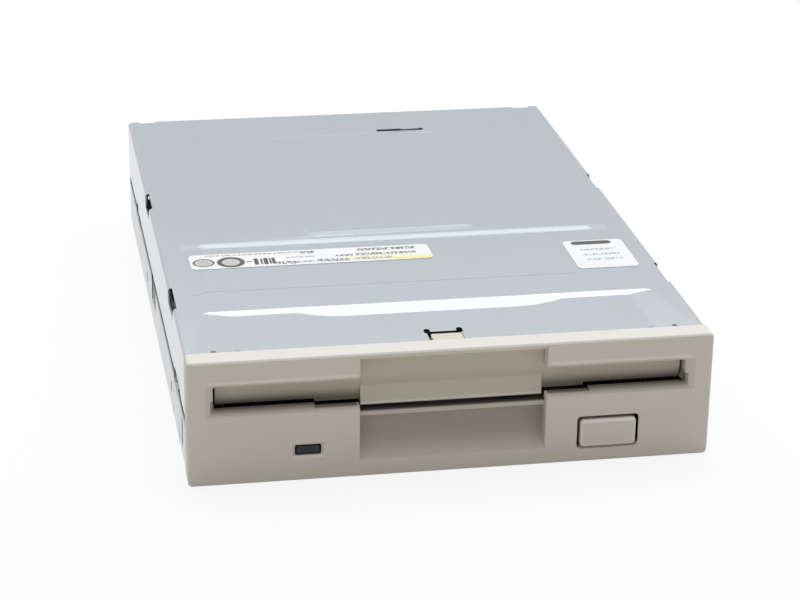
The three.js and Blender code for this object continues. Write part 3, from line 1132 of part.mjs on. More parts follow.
// Main board at the rear, with its chips, connectors and the carriage's flat cable
const logic = {
  z: 3.4, thick: 1.5, sideGap: 2.5, reach: 39.9, rearGap: 0.5, corner: 1.5, motorGap: 1.4, stand: 2.2,
  screwInset: 4, screwRear: 6.4, screwFront: 28.9,
};
const logicHalf = plateInner - logic.sideGap;
const logicYs = [bodyRear - logic.reach, bodyRear - coverSheet - chassisSheet - logic.rearGap];
const logicTop = logic.z + logic.thick;
const logicScrews = [
  [logic.screwInset - logicHalf, bodyRear - logic.screwRear],
  [logicHalf - logic.screwInset, bodyRear - logic.screwFront],
];
function mainBoardGeometry() {
  const slab = alongZ(rounded([-logicHalf, logicHalf], logicYs, logic.corner), [logic.z, logicTop]);
  const fromFront = (rear) => [logicYs[0] - overrun, rear + logic.motorGap];
  const bays = [
    block([screwX - bracket.halfX - logic.motorGap, rail.x + rail.width],
      fromFront(motorRear), past([logic.z, logicTop])),
    block(about(rodX0, clamp.width + 2 * logic.motorGap), fromFront(guideYs[1]), past([logic.z, logicTop])),
  ];
  const standZ = [floorSeat, logic.z + logic.thick / 2];
  const stands = logicScrews.map(([x, y]) => rodZ(logic.stand, x, y, standZ));
  const holes = logicScrews.map(([x, y]) => rodZ(screw.shank + screw.gap, x, y, past([0, logicTop])));
  return cut(fuse(slab, stands), bays, holes);
}
addPiece('main_board', mainBoardGeometry(), greenBoard());

// Track zero sensor: a slotted block round the carriage's flag
const logicSeat = logicTop + seatGap / 2;
const sensorYs = about(headY + sensor.behind, sensor.length);
const sensorZ = from(logicSeat, sensor.height);
addPiece('track_zero_sensor', cut(
  block(about(sensor.x, sensor.width), sensorYs, sensorZ),
  block(about(sensor.x, sensor.slot), past(sensorYs), [sensorZ[1] - sensor.slotDeep, sensorZ[1] + overrun]),
), blackPlastic());
logicScrews.forEach(([x, y], i) => {
  addPiece(`main_board_screw_${i + 1}`, screwGeometry(), brightSteel(), subassembly(x, y, logicTop));
});

const chip = {
  size: 12, height: 2, x: -34, inset: 23.4, edge: 0.5, legs: 9, legPitch: 1.1, legWidth: 0.5, legReach: 0.9,
  legThick: 0.4,
};
function chipGeometry() {
  const zs = from(logicSeat, chip.height);
  const square = (size) => roundedPoints(about(0, size), about(0, size), chip.edge);
  const body = loft([[zs[0] + chip.legThick / 2, square(chip.size - chip.edge)],
    [middle(zs), square(chip.size)], [zs[1], square(chip.size - chip.edge)]]);
  const legs = [];
  for (let i = 0; i < chip.legs; i += 1) {
    const along = (i - (chip.legs - 1) / 2) * chip.legPitch;
    const reach = chip.size + 2 * chip.legReach;
    legs.push(block(about(along, chip.legWidth), about(0, reach), from(zs[0], chip.legThick)));
  }
  return fuse(body, legs);
}
addPiece('controller_chip', chipGeometry(), blackPlastic(), subassembly(chip.x, bodyRear - chip.inset, 0));
const can = { radius: 2.6, height: 6.4, x: 38, inset: 20.9, groove: 0.4 };
addPiece('capacitor', turned([
  [0, 0], [can.radius, 0], [can.radius, can.groove], [can.radius - can.groove, can.groove * 2],
  [can.radius, can.groove * 3], [can.radius, can.height - can.groove],
  [can.radius - can.groove, can.height], [0, can.height],
], pinSides), finish(0x30343c, 0.4, 0.2), subassembly(can.x, bodyRear - can.inset, logicSeat));
const crystal = { width: 10, depth: 3.6, height: 3.4, x: -33, inset: 34.9 };
addPiece('crystal', alongZ(
  rounded(about(crystal.x, crystal.width), about(bodyRear - crystal.inset, crystal.depth),
    crystal.depth * roundEndShare),
  from(logicSeat, crystal.height),
), brightSteel());

// Box headers: a wall round a row field of pins, open to the rear
function headerGeometry(header) {
  const xs = about(header.x, header.width);
  const zs = from(logicSeat, header.height);
  const ys = [header.rear - header.depth, header.rear];
  const shell = block(xs, ys, zs);
  const room = block(wider(xs, -header.wall), [ys[0] + header.wall * 2, ys[1] + overrun],
    wider(zs, -header.wall));
  const key = block(about(header.x, header.key), [ys[0] + header.wall * 2, ys[1] + overrun],
    [middle(zs), zs[1] + overrun]);
  const pins = [];
  const pinYs = [ys[0] + header.wall, ys[1] - header.pinInset];
  const places = (count) => [...Array(count).keys()].map((i) => (i - (count - 1) / 2) * header.pitch);
  for (const z of places(header.rows)) {
    for (const x of places(header.columns)) {
      pins.push(block(about(header.x + x, header.pin), pinYs, about(middle(zs) + z, header.pin)));
    }
  }
  return fuse(cut(shell, room, header.key > 0 ? [key] : []), pins);
}
const headerRear = bodyRear - coverSheet - runGap;
const dataHeader = {
  x: 14.5, width: 51, height: 8.8, depth: 9, rear: headerRear, wall: 1, key: 4, rows: 2, columns: 17,
  pitch: 2.54, pin: 0.64, pinInset: 1.2,
};
const powerHeader = {
  x: -27, width: 12.4, height: 8, depth: 9, rear: headerRear, wall: 1, key: 0, rows: 1, columns: 4,
  pitch: 2.5, pin: 0.8, pinInset: 1.6,
};
addPiece('data_connector', headerGeometry(dataHeader), blackPlastic());
addPiece('power_connector', headerGeometry(powerHeader), finish(0xe6e2d6, 0.5, 0));

// Flat flexible cable: from under the carriage back, round one rolling loop and forward to its socket
const film = {
  thick: 0.3, x: [-9.5, -1.5], startBack: 19, loopBehind: 43.5, footBehind: 30.5, lift: 1,
  socket: 5.5, socketHigh: 2.6,
};
const cableFootY = headY + film.footBehind;
function cableGeometry() {
  const top = carriage.low - seatGap;
  const low = logicTop + film.lift;
  const radius = (top - low) / 2;
  const middleY = headY + film.loopBehind - radius;
  const shape = new THREE.Shape();
  shape.moveTo(headY + film.startBack, top);
  shape.absarc(middleY, top - radius, radius, quarter, -quarter, true);
  shape.lineTo(cableFootY, low);
  shape.lineTo(cableFootY, low + film.thick);
  shape.absarc(middleY, top - radius, radius - film.thick, -quarter, quarter, false);
  shape.lineTo(headY + film.startBack, top - film.thick);
  const strip = new THREE.ExtrudeGeometry(shape, {
    depth: span(film.x), bevelEnabled: false, curveSegments: curveSteps,
  });
  return layAlongX(strip).translate(film.x[0], 0, 0);
}
addPiece('head_cable', cableGeometry(), amberFilm());
const socketYs = about(cableFootY, film.socket);
addPiece('cable_socket', cut(
  block(wider(film.x, sheet), socketYs, from(logicSeat, film.socketHigh)),
  block(wider(film.x, seatGap), [cableFootY - seatGap, socketYs[1] + overrun],
    wider(from(logicTop + film.lift, film.thick), seatGap)),
), creamPlastic());

// The origin is under the middle of the whole drive
drive.position.set(0, -(bodyRear - button.proud) / 2, 0);
const floppyDrive = new THREE.Group();
floppyDrive.add(drive);

export default floppyDrive;
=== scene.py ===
import math

import bpy
from mathutils import Matrix, Vector


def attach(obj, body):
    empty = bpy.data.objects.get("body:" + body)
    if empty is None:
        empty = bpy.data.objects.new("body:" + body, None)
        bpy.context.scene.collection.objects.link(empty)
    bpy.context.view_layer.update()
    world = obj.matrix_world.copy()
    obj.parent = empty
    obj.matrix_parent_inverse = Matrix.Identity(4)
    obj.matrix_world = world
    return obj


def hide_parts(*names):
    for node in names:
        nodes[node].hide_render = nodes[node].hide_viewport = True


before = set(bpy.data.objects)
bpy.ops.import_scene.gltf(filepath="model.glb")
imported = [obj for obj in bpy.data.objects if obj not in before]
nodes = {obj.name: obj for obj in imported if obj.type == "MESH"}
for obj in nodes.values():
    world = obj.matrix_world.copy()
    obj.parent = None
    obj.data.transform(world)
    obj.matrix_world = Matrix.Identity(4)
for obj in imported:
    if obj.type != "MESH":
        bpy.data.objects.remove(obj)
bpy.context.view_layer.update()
scene = bpy.context.scene
mm = 0.001
perMetre = 1000                     # mm in a metre, for texture coordinates
faceY = -73.15                      # the bezel's front face, in mm along y
print("frame loaded:", len(nodes), "nodes")


def spot(x, y, z):
    # x from the middle, y back from the bezel's face and z up from the underside, in mm
    return Vector((x, y + faceY, z)) * mm


def paint(red, green, blue):
    # a colour as a screen shows it, 0 to 255, turned into the linear one that shaders take
    steps = [value / 255 for value in (red, green, blue)]
    linear = [s / 12.92 if s <= 0.04045 else ((s + 0.055) / 1.055) ** 2.4 for s in steps]
    return (*linear, 1)


white = paint(255, 255, 255)
black = paint(0, 0, 0)

# Modelling helpers, with lengths in mm and angles in degrees

meshing = {"weld": 0.004, "flatWithin": 0.6, "bevelAbove": 30, "smoothBelow": 40, "foldAbove": 3}


def choose(piece):
    for thing in bpy.context.selected_objects:
        thing.select_set(False)
    piece.select_set(True)
    bpy.context.view_layer.objects.active = piece


def editAll(piece):
    choose(piece)
    bpy.ops.object.mode_set(mode="EDIT")
    bpy.ops.mesh.select_all(action="SELECT")


def leaveEdit():
    bpy.ops.object.mode_set(mode="OBJECT")


def settle(piece):
    choose(piece)
    bpy.ops.object.transform_apply(location=True, rotation=True, scale=True)


def roundEdges(piece, width, steps):
    bevel = piece.modifiers.new("roundedEdges", "BEVEL")
    bevel.width = width * mm
    bevel.segments = steps
    bevel.limit_method = "ANGLE"
    bevel.angle_limit = math.radians(meshing["bevelAbove"])
    choose(piece)
    bpy.ops.object.modifier_apply(modifier=bevel.name)


def keepFolds(piece, low, high):
    # shallow folds between flat faces stay crisp in the box, so that a slope catches the light as one plane
    editAll(piece)
    bpy.ops.mesh.select_all(action="DESELECT")
    bpy.ops.mesh.select_mode(type="EDGE")
    bpy.ops.mesh.edges_select_sharp(sharpness=math.radians(meshing["foldAbove"]))
    leaveEdit()
    corners = piece.data.vertices
    for edge in piece.data.edges:
        middle = (corners[edge.vertices[0]].co + corners[edge.vertices[1]].co) / 2
        if edge.select and all(low[i] <= middle[i] <= high[i] for i in range(3)):
            edge.use_edge_sharp = True


def smooth(piece, below=meshing["smoothBelow"], folds=None):
    # big flat faces keep their own direction, so that only the bends look round
    choose(piece)
    bpy.ops.object.shade_smooth_by_angle(angle=math.radians(below))
    if folds:
        keepFolds(piece, spot(*folds[0]), spot(*folds[1]))
    flat = piece.modifiers.new("flatFacesFirst", "WEIGHTED_NORMAL")
    flat.mode = "FACE_AREA"
    flat.keep_sharp = True
    bpy.ops.object.modifier_apply(modifier=flat.name)


def dressedCopy(name, pieceName, body, look):
    # the same solid, with its edges rounded where its look says so, in place of the node
    piece = bpy.data.objects.new(pieceName, nodes[name].data.copy())
    scene.collection.objects.link(piece)
    editAll(piece)
    bpy.ops.mesh.remove_doubles(threshold=meshing["weld"] * mm)
    if look["edge"]:
        bpy.ops.mesh.dissolve_limited(angle_limit=math.radians(meshing["flatWithin"]))
    leaveEdit()
    if look["edge"]:
        roundEdges(piece, look["edge"], look["steps"])
    smooth(piece, folds=look.get("folds"))
    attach(piece, body)
    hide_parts(name)
    return piece


# Node groups that more than one finish uses. Each takes a place in metres as its Vector and works in mm

def feed(tree, socket, value):
    # another node's output is linked, and a number, place or colour is set
    if isinstance(value, bpy.types.NodeSocket):
        tree.links.new(value, socket)
    else:
        socket.default_value = value


def addMath(tree, operation, *values, clamp=False):
    node = tree.nodes.new("ShaderNodeMath")
    node.operation = operation
    node.use_clamp = clamp
    for socket, value in zip(node.inputs, values):
        feed(tree, socket, value)
    return node.outputs[0]


def addVectorMath(tree, operation, *values):
    node = tree.nodes.new("ShaderNodeVectorMath")
    node.operation = operation
    second = node.inputs["Scale"] if operation == "SCALE" else node.inputs[1]
    for socket, value in zip((node.inputs[0], second), values):
        feed(tree, socket, value)
    return node.outputs["Value"] if operation in ("DOT_PRODUCT", "LENGTH") else node.outputs["Vector"]


def addNoise(tree, vector, scale, detail, roughness=0.5):
    node = tree.nodes.new("ShaderNodeTexNoise")
    for label, value in (("Vector", vector), ("Scale", scale), ("Detail", detail), ("Roughness", roughness)):
        feed(tree, node.inputs[label], value)
    return node.outputs["Fac"]


def addRange(tree, value, low, high, toLow=0, toHigh=1):
    node = tree.nodes.new("ShaderNodeMapRange")
    node.interpolation_type = "SMOOTHSTEP"
    labels = ("Value", "From Min", "From Max", "To Min", "To Max")
    for label, given in zip(labels, (value, low, high, toLow, toHigh)):
        feed(tree, node.inputs[label], given)
    return node.outputs["Result"]


def newGroup(name, inputs, outputs):
    group = bpy.data.node_groups.new(name, "ShaderNodeTree")
    for label, value in {"Vector": (0, 0, 0), **inputs}.items():
        kind = "NodeSocketVector" if isinstance(value, tuple) else "NodeSocketFloat"
        socket = group.interface.new_socket(name=label, in_out="INPUT", socket_type=kind)
        socket.default_value = value
    for label in outputs:
        group.interface.new_socket(name=label, in_out="OUTPUT", socket_type="NodeSocketFloat")
    given = group.nodes.new("NodeGroupInput").outputs
    out = group.nodes.new("NodeGroupOutput").inputs
    return group, given, addVectorMath(group, "SCALE", given["Vector"], perMetre), out


def addShares(tree, first, second, firstShare):
    # two values mixed by their shares
    return addMath(tree, "ADD", addMath(tree, "MULTIPLY", first, firstShare),
                   addMath(tree, "MULTIPLY", second, 1 - firstShare))


noiseSpan = (0.3, 0.7)              # what noise mostly gives, spread out to 0 and 1
grainMix = {"fine": (3, 0.6), "broad": (4, 0.55), "broadShare": 0.7}
rolledMix = {"drawnOut": (1, 0.06, 1), "streak": (4, 0.65), "cloud": (5, 0.6), "speckScale": 2.6,
             "speck": (2, 0.5), "streakTone": 0.4, "streakHeight": 0.8}
smudgeMix = {"shift": (37, 12, 5), "broad": (5, 0.62), "fineScale": 1.4, "fine": (3, 0.6), "fade": 0.25,
             "broken": (0.25, 0.6), "least": 0.4}
lineMix = {"dashStretch": (2.6, 0.9, 0), "dashSpan": (0.44, 0.52), "shortest": 0.0001}


def buildSurfaceGrain():
    # moulding texture: a fine grain for the height and broad soft blotches for the tone
    group, given, inMm, out = newGroup(
        "surfaceGrain", {"Grain Size": 0.4, "Blotch Size": 20}, ["Tone", "Height"])
    fine = addNoise(group, inMm, addMath(group, "DIVIDE", 1, given["Grain Size"]), *grainMix["fine"])
    broad = addNoise(group, inMm, addMath(group, "DIVIDE", 1, given["Blotch Size"]), *grainMix["broad"])
    tone = addShares(group, addRange(group, broad, *noiseSpan), addRange(group, fine, *noiseSpan),
                     grainMix["broadShare"])
    group.links.new(tone, out["Tone"])
    group.links.new(fine, out["Height"])
    return group


def buildRolledStreaks():
    # rolled and plated sheet: faint streaks along the drive over slow clouds
    group, given, inMm, out = newGroup(
        "rolledStreaks", {"Streak Size": 0.5, "Cloud Size": 14}, ["Tone", "Height"])
    drawn = addVectorMath(group, "MULTIPLY", inMm, rolledMix["drawnOut"])
    streak = addNoise(group, drawn, addMath(group, "DIVIDE", 1, given["Streak Size"]), *rolledMix["streak"])
    cloud = addNoise(group, inMm, addMath(group, "DIVIDE", 1, given["Cloud Size"]), *rolledMix["cloud"])
    speck = addNoise(group, inMm, rolledMix["speckScale"], *rolledMix["speck"])
    tone = addShares(group, addRange(group, streak, *noiseSpan), addRange(group, cloud, *noiseSpan),
                     rolledMix["streakTone"])
    group.links.new(tone, out["Tone"])
    group.links.new(addShares(group, streak, speck, rolledMix["streakHeight"]), out["Height"])
    return group


def buildHandlingMarks():
    # smudges that fingers and dust leave: a soft broken mask
    group, given, inMm, out = newGroup("handlingMarks", {"Mark Size": 9, "Cover": 0.45}, ["Mask"])
    shifted = addVectorMath(group, "ADD", inMm, smudgeMix["shift"])
    broad = addNoise(group, shifted, addMath(group, "DIVIDE", 1, given["Mark Size"]), *smudgeMix["broad"])
    fine = addNoise(group, shifted, smudgeMix["fineScale"], *smudgeMix["fine"])
    edge = addMath(group, "SUBTRACT", 1, given["Cover"])
    mask = addRange(group, broad, edge, addMath(group, "ADD", edge, smudgeMix["fade"]))
    broken = addRange(group, fine, *smudgeMix["broken"], smudgeMix["least"], 1)
    group.links.new(addMath(group, "MULTIPLY", mask, broken), out["Mask"])
    return group


def buildMarkLine():
    # a straight mark from one place to another, with rounded ends: 1 on it and 0 off it
    group, given, inMm, out = newGroup(
        "markLine",
        {"Start": (0, 0, 0), "End": (0, 0, 0), "Half Width": 0.2, "Softness": 0.1, "Breaks": 0}, ["Mask"])
    fromStart = addVectorMath(group, "SUBTRACT", inMm, given["Start"])
    along = addVectorMath(group, "SUBTRACT", given["End"], given["Start"])
    length = addMath(group, "MAXIMUM", addVectorMath(group, "DOT_PRODUCT", along, along), lineMix["shortest"])
    reach = addVectorMath(group, "DOT_PRODUCT", fromStart, along)
    share = addMath(group, "DIVIDE", reach, length, clamp=True)
    nearest = addVectorMath(group, "SCALE", along, share)
    away = addVectorMath(group, "LENGTH", addVectorMath(group, "SUBTRACT", fromStart, nearest))
    mask = addRange(group, away, addMath(group, "SUBTRACT", given["Half Width"], given["Softness"]),
                    addMath(group, "ADD", given["Half Width"], given["Softness"]), 1, 0)
    stretched = addVectorMath(group, "MULTIPLY", inMm, lineMix["dashStretch"])
    dashes = addRange(group, addNoise(group, stretched, 1, 1), *lineMix["dashSpan"])
    whole = addMath(group, "SUBTRACT", 1, given["Breaks"])
    shown = addMath(group, "MAXIMUM", whole, dashes)
    group.links.new(addMath(group, "MULTIPLY", mask, shown), out["Mask"])
    return group


def buildMarkRing():
    # a printed ring round a place: 1 on its line and 0 off it
    group, given, inMm, out = newGroup(
        "markRing", {"Centre": (0, 0, 0), "Radius": 2.5, "Half Width": 0.25, "Softness": 0.1}, ["Mask"])
    away = addVectorMath(group, "LENGTH", addVectorMath(group, "SUBTRACT", inMm, given["Centre"]))
    off = addMath(group, "ABSOLUTE", addMath(group, "SUBTRACT", away, given["Radius"]))
    mask = addRange(group, off, addMath(group, "SUBTRACT", given["Half Width"], given["Softness"]),
                    addMath(group, "ADD", given["Half Width"], given["Softness"]), 1, 0)
    group.links.new(mask, out["Mask"])
    return group


def buildWithinBox():
    # 1 between two corners and 0 outside them, with its own softness along each axis
    group, given, inMm, out = newGroup(
        "withinBox", {"Low": (0, 0, 0), "High": (1, 1, 1), "Softness": (0.04, 0.04, 0.04)}, ["Mask"])
    above = group.nodes.new("ShaderNodeSeparateXYZ")
    below = group.nodes.new("ShaderNodeSeparateXYZ")
    overLow = addVectorMath(group, "SUBTRACT", inMm, given["Low"])
    underHigh = addVectorMath(group, "SUBTRACT", given["High"], inMm)
    group.links.new(addVectorMath(group, "DIVIDE", overLow, given["Softness"]), above.inputs[0])
    group.links.new(addVectorMath(group, "DIVIDE", underHigh, given["Softness"]), below.inputs[0])
    least = None
    for socket in [*above.outputs, *below.outputs]:
        least = socket if least is None else addMath(group, "MINIMUM", least, socket)
    group.links.new(addRange(group, least, -1, 1), out["Mask"])
    return group


surfaceGrain = buildSurfaceGrain()
rolledStreaks = buildRolledStreaks()
handlingMarks = buildHandlingMarks()
markLine = buildMarkLine()
markRing = buildMarkRing()
withinBox = buildWithinBox()
print("node groups built")


# Finishes

def startMaterial(name):
    material = bpy.data.materials.new(name)
    material.use_nodes = True
    tree = material.node_tree
    where = tree.nodes.new("ShaderNodeTexCoord").outputs["Object"]
    return material, tree, tree.nodes["Principled BSDF"], where


def placeGroup(tree, group, vector, values):
    node = tree.nodes.new("ShaderNodeGroup")
    node.node_tree = group
    for label, value in {"Vector": vector, **values}.items():
        feed(tree, node.inputs[label], value)
    return node.outputs


mixSockets = {"low": 6, "high": 7, "result": 2}     # where a Mix node has its colours


def mixColour(tree, mask, low, high):
    node = tree.nodes.new("ShaderNodeMix")
    node.data_type = "RGBA"
    tree.links.new(mask, node.inputs["Factor"])
    feed(tree, node.inputs[mixSockets["low"]], low)
    feed(tree, node.inputs[mixSockets["high"]], high)
    return node.outputs[mixSockets["result"]]


def inMmAt(x, y, z):
    return Vector((x, y + faceY, z))


def addBox(tree, where, low, high, softness=(0.04, 0.04, 0.04)):
    corners = {"Low": inMmAt(*low), "High": inMmAt(*high), "Softness": softness}
    return placeGroup(tree, withinBox, where, corners)["Mask"]


def addGrain(tree, where, look):
    sizes = {"Grain Size": look["grain"], "Blotch Size": look["blotch"]}
    return placeGroup(tree, surfaceGrain, where, sizes)


def addPaintedShading(tree, where, colour, look):
    # painted shade inside slots and gaps, each in a box given by two corners in mm, and softer painted shades
    # and highlights, each with its softness along x, y and z, its strength and its tone
    # painted shade: each gap box is coloured dark, then each softer box is painted darker or lighter
    for low, high in look["gaps"]:
        colour = mixColour(tree, addBox(tree, where, low, high), colour, look["gapShadeTone"])
    for low, high, softness, strength, tone in look["paintedShading"]:
        inside = addBox(tree, where, low, high, softness)
        colour = mixColour(tree, addMath(tree, "MULTIPLY", inside, strength), colour, tone)
    return colour


def addRelief(tree, shader, height, strength, depth):
    bump = tree.nodes.new("ShaderNodeBump")
    bump.inputs["Strength"].default_value = strength
    bump.inputs["Distance"].default_value = depth * mm
    tree.links.new(height, bump.inputs["Height"])
    tree.links.new(bump.outputs["Normal"], shader.inputs["Normal"])


# what a finish has unless its own look says otherwise
usualLook = dict(rolled=False, soil=0.25, cover=0.42, marks=9, haze=0.08, depth=0.03, metal=0, shine=0.5,
                 creases=(), gaps=(), paintedShading=(), dulled=())


def makeFinish(name, ownLook):
    # two tones, two levels of gloss and a fine relief, with faint smudges over them, and painted shade and
    # painted highlights from its look
    look = {**usualLook, **ownLook}
    material, tree, shader, where = startMaterial(name)
    if look["rolled"]:
        sizes = {"Streak Size": look["grain"], "Cloud Size": look["blotch"]}
        base = placeGroup(tree, rolledStreaks, where, sizes)
    else:
        base = addGrain(tree, where, look)
    marks = {"Mark Size": look["marks"], "Cover": look["cover"]}
    smudge = placeGroup(tree, handlingMarks, where, marks)["Mask"]
    colour = mixColour(tree, base["Tone"], look["dark"], look["light"])
    colour = mixColour(tree, addMath(tree, "MULTIPLY", smudge, look["soil"]), colour, look["soiled"])
    height = base["Height"]
    # each crease is a shallow groove in the relief and is painted darker as painted shade
    for start, end, half, strength in look["creases"]:
        line = {"Start": inMmAt(*start), "End": inMmAt(*end), "Half Width": half, "Softness": half}
        share = addMath(tree, "MULTIPLY", placeGroup(tree, markLine, where, line)["Mask"], strength)
        colour = mixColour(tree, share, colour, look["creaseShadeTone"])
        height = addMath(tree, "SUBTRACT", height, share)
    colour = addPaintedShading(tree, where, colour, look)
    rough = addRange(tree, base["Tone"], 0, 1, *look["gloss"])
    rough = addMath(tree, "ADD", rough, addMath(tree, "MULTIPLY", smudge, look["haze"]))
    for low, high, softness, more in look["dulled"]:
        inside = addBox(tree, where, low, high, softness)
        rough = addMath(tree, "ADD", rough, addMath(tree, "MULTIPLY", inside, more))
    tree.links.new(colour, shader.inputs["Base Color"])
    tree.links.new(rough, shader.inputs["Roughness"])
    addRelief(tree, shader, height, look["relief"], look["depth"])
    shader.inputs["Metallic"].default_value = look["metal"]
    shader.inputs["Specular IOR Level"].default_value = look["shine"]
    return material


def wearOn(piece, material):
    piece.data.materials.clear()
    piece.data.materials.append(material)


def wear(names, material):
    for name in names:
        wearOn(nodes[name], material)


def onBothSides(low, high, *rest):
    # the same box on the right and, mirrored, on the left, with the rest of its row
    return [(low, high, *rest), ((-high[0], *low[1:]), (-low[0], *high[1:]), *rest)]


seamShade = paint(40, 42, 46)       # painted shade inside the seams and openings of the steel
jointShade = paint(50, 48, 46)      # painted shade where the cover meets the bezel's tabs


# Inner pieces, each finish with the pieces that wear it

innerLooks = {
    "blackMoulding": dict(
        dark=paint(38, 38, 41), light=paint(48, 48, 51), soiled=paint(70, 69, 68),
        grain=0.2, blotch=6, gloss=(0.45, 0.6), relief=0.25, soil=0.2,
        wornBy=["screw_pivot", "track_zero_sensor", "controller_chip", "data_connector",
                "write_protect_switch", "density_switch", "disk_in_switch"]),
    "ivoryMoulding": dict(
        dark=paint(222, 217, 201), light=paint(232, 228, 215), soiled=paint(200, 192, 172),
        grain=0.2, blotch=6, gloss=(0.4, 0.5), relief=0.15, soil=0.2,
        wornBy=["power_connector", "cable_socket", "write_protect_plunger", "density_plunger",
                "disk_in_plunger"]),
    "greyMoulding": dict(
        dark=paint(128, 129, 132), light=paint(142, 143, 146), soiled=paint(112, 110, 108),
        grain=0.25, blotch=8, gloss=(0.45, 0.6), relief=0.25, soil=0.2,
        wornBy=["head_carriage", "upper_arm"]),
    "ferrite": dict(
        dark=paint(44, 41, 40), light=paint(58, 54, 52), soiled=paint(74, 70, 66),
        grain=0.15, blotch=5, gloss=(0.55, 0.7), relief=0.4, soil=0.3,
        wornBy=["rotor_magnet"]),
    "ceramic": dict(
        dark=paint(72, 68, 66), light=paint(86, 82, 79), soiled=paint(60, 57, 55),
        grain=0.1, blotch=3, gloss=(0.12, 0.2), relief=0.08, soil=0.15,
        wornBy=["lower_head", "upper_head"]),
    "epoxyLamp": dict(
        dark=paint(196, 214, 178), light=paint(206, 224, 188), soiled=paint(180, 196, 160),
        grain=0.3, blotch=3, gloss=(0.15, 0.22), relief=0.08, soil=0.1,
        wornBy=["lamp"]),
    "canSleeve": dict(
        dark=paint(40, 43, 56), light=paint(50, 54, 68), soiled=paint(66, 68, 76),
        grain=0.2, blotch=4, gloss=(0.3, 0.4), relief=0.1, soil=0.15,
        wornBy=["capacitor"]),
    "woundCore": dict(
        dark=paint(146, 78, 42), light=paint(178, 102, 58), soiled=paint(110, 62, 40),
        grain=0.22, blotch=3, gloss=(0.25, 0.4), relief=0.8, metal=0.5, soil=0.3,
        wornBy=["stator"]),
    "platedTray": dict(
        dark=paint(180, 184, 188), light=paint(194, 198, 202), soiled=paint(164, 168, 171),
        grain=0.5, blotch=10, gloss=(0.3, 0.4), relief=0.15, metal=0.9, rolled=True, soil=0.3,
        wornBy=["disk_holder", "trigger_lever", "side_rail", "rod_clamp_front", "rod_clamp_rear",
                "motor_bracket"]),
    "platedSlider": dict(
        dark=paint(190, 192, 190), light=paint(204, 205, 202), soiled=paint(172, 173, 170),
        grain=0.5, blotch=9, gloss=(0.28, 0.38), relief=0.15, metal=0.9, rolled=True, soil=0.3,
        wornBy=["slide_plate"]),
    "springWire": dict(
        dark=paint(168, 170, 172), light=paint(196, 198, 200), soiled=paint(140, 140, 138),
        grain=0.3, blotch=4, gloss=(0.22, 0.32), relief=0.1, metal=1, soil=0.2,
        wornBy=["flap_spring", "eject_spring_left", "eject_spring_right", "arm_spring"]),
    "groundSteel": dict(
        dark=paint(196, 198, 200), light=paint(212, 214, 216), soiled=paint(170, 170, 168),
        grain=0.2, blotch=6, gloss=(0.14, 0.22), relief=0.06, metal=1, soil=0.2,
        wornBy=["spindle_shaft", "drive_pin", "arm_hinge_pin", "guide_rod", "lead_screw"]),
    "platedCan": dict(
        dark=paint(178, 180, 184), light=paint(196, 198, 202), soiled=paint(158, 160, 162),
        grain=0.4, blotch=8, gloss=(0.26, 0.36), relief=0.12, metal=0.95, soil=0.25,
        wornBy=["spindle_rotor", "stepper_motor", "crystal", "motor_board_screw_1",
                "motor_board_screw_2", "motor_board_screw_3", "rod_clamp_screw_front",
                "rod_clamp_screw_rear", "main_board_screw_1", "main_board_screw_2"]),
    "turnedBrass": dict(
        dark=paint(186, 156, 92), light=paint(204, 176, 112), soiled=paint(150, 122, 72),
        grain=0.25, blotch=4, gloss=(0.24, 0.34), relief=0.15, metal=1, soil=0.3,
        wornBy=["spindle_hub", "spindle_bearing", "carriage_follower", "trigger_rivet"]),
}
for finishName, innerLook in innerLooks.items():
    wear(innerLook["wornBy"], makeFinish(finishName, innerLook))
print("finishes placed on the inner pieces")


# Circuit boards: green mask over copper tracks

boardLook = dict(
    dark=paint(28, 84, 52), light=paint(40, 104, 66), track=paint(58, 128, 84), grain=0.3, blotch=12,
    trackPitch=1.6, trackRun=10.4, trackWidth=0.16, trackSoftness=0.2, stagger=0.37,
    gloss=(0.22, 0.34), relief=0.4, depth=0.03)


def addTracks(tree, where, look):
    # 1 on the tracks: they run in the joints of a brick pattern, in mm
    brick = tree.nodes.new("ShaderNodeTexBrick")
    brick.inputs["Color1"].default_value = white
    brick.inputs["Color2"].default_value = white
    brick.inputs["Mortar"].default_value = black
    brick.inputs["Scale"].default_value = 1
    brick.inputs["Mortar Size"].default_value = look["trackWidth"]
    brick.inputs["Mortar Smooth"].default_value = look["trackSoftness"]
    brick.inputs["Brick Width"].default_value = look["trackRun"]
    brick.inputs["Row Height"].default_value = look["trackPitch"]
    brick.offset = look["stagger"]
    tree.links.new(addVectorMath(tree, "SCALE", where, perMetre), brick.inputs["Vector"])
    return addMath(tree, "SUBTRACT", 1, brick.outputs["Color"])


def makeBoardFinish(look):
    material, tree, shader, where = startMaterial("boardMask")
    grain = addGrain(tree, where, look)
    track = addTracks(tree, where, look)
    colour = mixColour(tree, grain["Tone"], look["dark"], look["light"])
    colour = mixColour(tree, track, colour, look["track"])
    tree.links.new(colour, shader.inputs["Base Color"])
    tree.links.new(addRange(tree, grain["Tone"], 0, 1, *look["gloss"]), shader.inputs["Roughness"])
    addRelief(tree, shader, track, look["relief"], look["depth"])
    return material


wear(["motor_board", "main_board"], makeBoardFinish(boardLook))

# Flat cable: amber film with its copper lines showing through

cableLook = dict(
    film=paint(184, 122, 50), copper=paint(214, 150, 78), soiled=paint(140, 88, 36), soil=0.25,
    pitch=0.8, lineSpan=(0.1, 0.4), grain=0.3, blotch=7, gloss=(0.24, 0.34), relief=0.4, depth=0.02)


